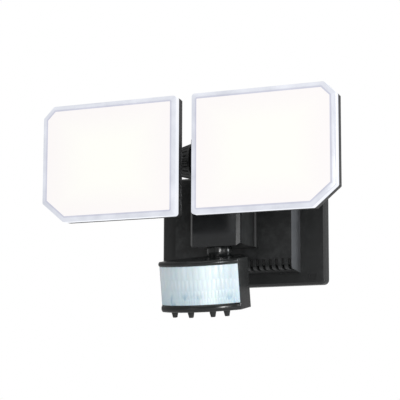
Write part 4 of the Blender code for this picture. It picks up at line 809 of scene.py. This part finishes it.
def build_sensor_rims():
    """Rolled rims above and below the window, standing a little proud of it."""
    low, high, radius, centre_y, sweep = bezel_arc()
    steps, turns = 64, 10
    for name, bottom, top in (
        ("lower", low.z + 0.0002, low.z + BOTTOM_RIM - 0.0003),
        ("upper", high.z - TOP_RIM + 0.0003, high.z - 0.0002),
    ):
        bm = bmesh.new()
        rings = []
        for i in range(steps + 1):
            share = 2 * i / steps - 1
            angle = sweep * share
            end = max(0.0, abs(share) - RIM_END) / (1 - RIM_END)
            swell = math.sqrt(max(0.04, 1 - end**2))
            ring = []
            for k in range(turns + 1):
                turn = math.pi * (k / turns - 0.5)
                reach = radius + RIM_PROUD * swell * math.cos(turn)
                up = (bottom + top) / 2 + (top - bottom) / 2 * math.sin(turn)
                spot = Vector((reach * math.sin(angle), centre_y - reach * math.cos(angle), up))
                ring.append(bm.verts.new(FROM_SENSOR @ spot))
            rings.append(ring)
        for before, after in zip(rings, rings[1:]):
            for k in range(turns):
                bm.faces.new((before[k], after[k], after[k + 1], before[k + 1]))
            bm.faces.new((before[turns], after[turns], after[0], before[0]))
        bm.faces.new(rings[0])
        bm.faces.new(rings[-1][::-1])
        piece(f"sensor_{name}_rim", bm, "sensor_head", [SENSOR_BLACK], [])


def build_sensor_lens():
    """The milky sheet: columns of slightly bulged cells in four tiers, the lower tiers with more columns."""
    low, high, radius, centre_y, sweep = bezel_arc()
    low.z += BOTTOM_RIM
    high.z -= TOP_RIM
    radius += LENS_PROUD
    sweep -= LENS_END_STEP / radius
    # each tier's lower and upper end as shares of the height, its number of columns and its bulge
    tiers = (
        (0.00, 0.16, 34, 0.00028), (0.16, 0.36, 26, 0.00030), (0.36, 0.64, 20, 0.00032),
        (0.64, 1.00, 14, 0.00030),
    )
    across_steps = 272
    steps = 6
    levels = []
    for bottom, top, columns, bulge in tiers:
        for k in range(steps + 1):
            swell = 0.35 + 0.65 * math.sin(math.pi * k / steps)
            levels.append((bottom + (top - bottom) * k / steps, columns, bulge * swell))
    bm = bmesh.new()
    grids = []
    for inward in (0.0, LENS_THICKNESS):
        grid = []
        for level, columns, bulge in levels:
            row = []
            for i in range(across_steps + 1):
                share = i / across_steps
                angle = sweep * (2 * share - 1)
                cell = abs(math.sin(math.pi * share * columns))
                reach = radius - inward - (LENS_RELIEF - bulge * cell if inward == 0.0 else 0.0)
                spot = Vector((reach * math.sin(angle), centre_y - reach * math.cos(angle),
                               low.z + (high.z - low.z) * level))
                row.append(bm.verts.new(FROM_SENSOR @ spot))
            grid.append(row)
        grids.append(grid)
    rows = len(levels)
    for side, grid in enumerate(grids):
        for j in range(rows - 1):
            for i in range(across_steps):
                quad = [grid[j][i], grid[j][i + 1], grid[j + 1][i + 1], grid[j + 1][i]]
                bm.faces.new(quad if side == 0 else quad[::-1])
    front, back = grids
    for i in range(across_steps):
        bm.faces.new((front[0][i + 1], front[0][i], back[0][i], back[0][i + 1]))
        bm.faces.new((front[-1][i], front[-1][i + 1], back[-1][i + 1], back[-1][i]))
    for j in range(rows - 1):
        bm.faces.new((front[j][0], front[j + 1][0], back[j + 1][0], back[j][0]))
        bm.faces.new((front[j + 1][-1], front[j][-1], back[j][-1], back[j + 1][-1]))
    bmesh.ops.remove_doubles(bm, verts=bm.verts, dist=2e-6)
    piece("sensor_milky_lens", bm, "sensor_head", [MILKY], ["sensor_lens"])


def build_sensor():
    refined("sensor_bezel", SENSOR_BLACK, 0.0004, 3, shortest=SHORT_EDGE)
    refined("sensor_housing", SENSOR_BLACK, 0.0004, 2, shortest=LONG_EDGE, whole=False)
    for label in SIDES:
        refined(label + "_swivel_half", SENSOR_BLACK, 0.0002, shortest=LONG_EDGE)
    build_sensor_lens()
    build_sensor_rims()
    for name in ("duration", "range", "dusk", "mode"):
        build_knob(name)
    for node, material in (("swivel_pin", ZINC), ("sensor_board", BOARD), ("heat_detector", ZINC)):
        NODES[node].data.materials.clear()
        NODES[node].data.materials.append(material)


def build_knob(name):
    """A small tapered adjuster with grip ribs and a screwdriver slot across its tip."""
    node = name + "_knob"
    low, high = sensor_box(node)
    centre = Vector(((low.x + high.x) / 2, (low.y + high.y) / 2, low.z))
    base = (high.x - low.x) / 2
    tip = base * KNOB_TIP_SHARE
    shaft = base * KNOB_SHAFT_SHARE

    def gripped(angle, along):
        in_groove = 0.0006 < along < KNOB_SKIRT - 0.0009 and math.cos(angle * KNOB_RIBS) < 0
        return 1.0 - (KNOB_RIB_SHARE if in_groove else 0.0)

    steps = 4
    rings = [(0.0, tip * 0.80), (0.0005, tip)]
    for k in range(steps + 1):
        share = k / steps
        rings.append((0.0007 + (KNOB_SKIRT - 0.0017) * share, tip + (base - tip) * 0.85 * share))
    rings += [(KNOB_SKIRT - 0.0008, base * 0.97), (KNOB_SKIRT, base), (KNOB_SKIRT, shaft)]
    rings += [(high.z - low.z, shaft)]
    bm = bmesh.new()
    lathe(bm, rings, (0, 0, 0), (0, 0, 1), KNOB_RIBS * 6, gripped)
    matrix = FROM_SENSOR @ Matrix.Translation(centre)
    bm.transform(matrix)
    made = piece(node + "_ribbed", bm, body_of(node), [HOUSING], [node])
    slot = bmesh.new()
    slab(slot, (-KNOB_SLOT / 2, -0.01, -0.001), (KNOB_SLOT / 2, 0.01, KNOB_SLOT * 1.4))
    slot.transform(matrix)
    cut_by(made, slot)


# ---- studio ----------------------------------------------------------------------------------------
def direction(azimuth, elevation):
    """From the lamp towards a viewer or a light. Azimuth 0 is in front, and 90 is on the +X side."""
    a = math.radians(azimuth)
    e = math.radians(elevation)
    return Vector((math.sin(a) * math.cos(e), -math.cos(a) * math.cos(e), math.sin(e)))


def build_camera():
    back = direction(VIEW_AZIMUTH, VIEW_ELEVATION)
    right = (-back).cross(Vector((0, 0, 1))).normalized()
    up = right.cross(-back)
    roll = math.radians(VIEW_ROLL)
    turned_right = right * math.cos(roll) + up * math.sin(roll)
    turned_up = up * math.cos(roll) - right * math.sin(roll)
    camera_data = bpy.data.cameras.new("camera")
    camera_data.lens = VIEW_LENS
    camera_data.sensor_width = SENSOR_SIZE
    camera_data.clip_end = 50.0
    camera = bpy.data.objects.new("camera", camera_data)
    bpy.context.scene.collection.objects.link(camera)
    place = VIEW_TARGET + back * VIEW_DISTANCE
    camera.matrix_world = Matrix((
        (turned_right.x, turned_up.x, back.x, place.x),
        (turned_right.y, turned_up.y, back.y, place.y),
        (turned_right.z, turned_up.z, back.z, place.z),
        (0.0, 0.0, 0.0, 1.0),
    ))
    bpy.context.scene.camera = camera


def softbox(name, azimuth, elevation, distance, size, radiance, colour=(1.0, 1.0, 1.0)):
    """A rectangular light that faces the lamp and that the camera doesn't see."""
    data = bpy.data.lights.new(name, "AREA")
    data.shape = "RECTANGLE"
    data.size, data.size_y = size
    data.energy = radiance * math.pi * size[0] * size[1]
    data.color = colour
    light = bpy.data.objects.new(name, data)
    bpy.context.scene.collection.objects.link(light)
    towards = direction(azimuth, elevation)
    light.location = VIEW_TARGET + towards * distance
    light.rotation_euler = towards.to_track_quat("Z", "Y").to_euler()
    light.visible_camera = False


def build_studio():
    softbox("front_softbox", 32, 0, 2.2, (0.85, 1.5), 2.4)
    softbox("glint_softbox", 31, -3, 1.6, (0.26, 0.50), 20.0)
    softbox("right_softbox", 66, 12, 1.6, (0.55, 1.2), 2.0)
    softbox("rim_softbox", 112, 14, 1.5, (0.40, 0.9), 7.0, (0.94, 0.97, 1.0))
    softbox("left_softbox", -26, -8, 2.0, (0.5, 0.55), 0.9)
    softbox("top_softbox", -10, 66, 1.8, (1.6, 1.0), 1.6)
    build_world()
    build_floor()
    settings = bpy.context.scene.view_settings
    settings.view_transform = "Standard"
    settings.look = "None"


def build_world():
    """White behind everything, and dimmer as a light."""
    world = bpy.data.worlds.new("studio")
    world.use_nodes = True
    tree = world.node_tree
    background = tree.nodes["Background"]
    background.inputs["Color"].default_value = (1.0, 1.0, 1.0, 1.0)
    ray = tree.nodes.new("ShaderNodeLightPath")
    level = tree.nodes.new("ShaderNodeMapRange")
    level.inputs["To Min"].default_value = WORLD_LIGHT
    level.inputs["To Max"].default_value = 1.0
    tree.links.new(ray.outputs["Is Camera Ray"], level.inputs["Value"])
    tree.links.new(level.outputs["Result"], background.inputs["Strength"])
    bpy.context.scene.world = world


def build_floor():
    low, _ = CAD_BOX
    bm = bmesh.new()
    bmesh.ops.create_grid(bm, x_segments=1, y_segments=1, size=FLOOR_HALF_WIDTH)
    mesh = bpy.data.meshes.new("floor")
    bm.to_mesh(mesh)
    bm.free()
    floor = bpy.data.objects.new("floor", mesh)
    bpy.context.scene.collection.objects.link(floor)
    floor.location = (0.0, 0.0, low.z - FLOOR_DROP)
    pale = Finish("pale_floor").set(Roughness=0.7)
    pale.feed("Base Color", pale.blend(pale.patches(3, 3), (0.86,) * 3, (0.90,) * 3))
    mesh.materials.append(pale.done())


# ---- everything ------------------------------------------------------------------------------------
build_camera()
build_canopy()
build_back_pieces()
build_control_board()
build_column()
for side_label in SIDES:
    build_arm(side_label)
    build_head(side_label)
build_sensor()
build_fasteners()
build_studio()
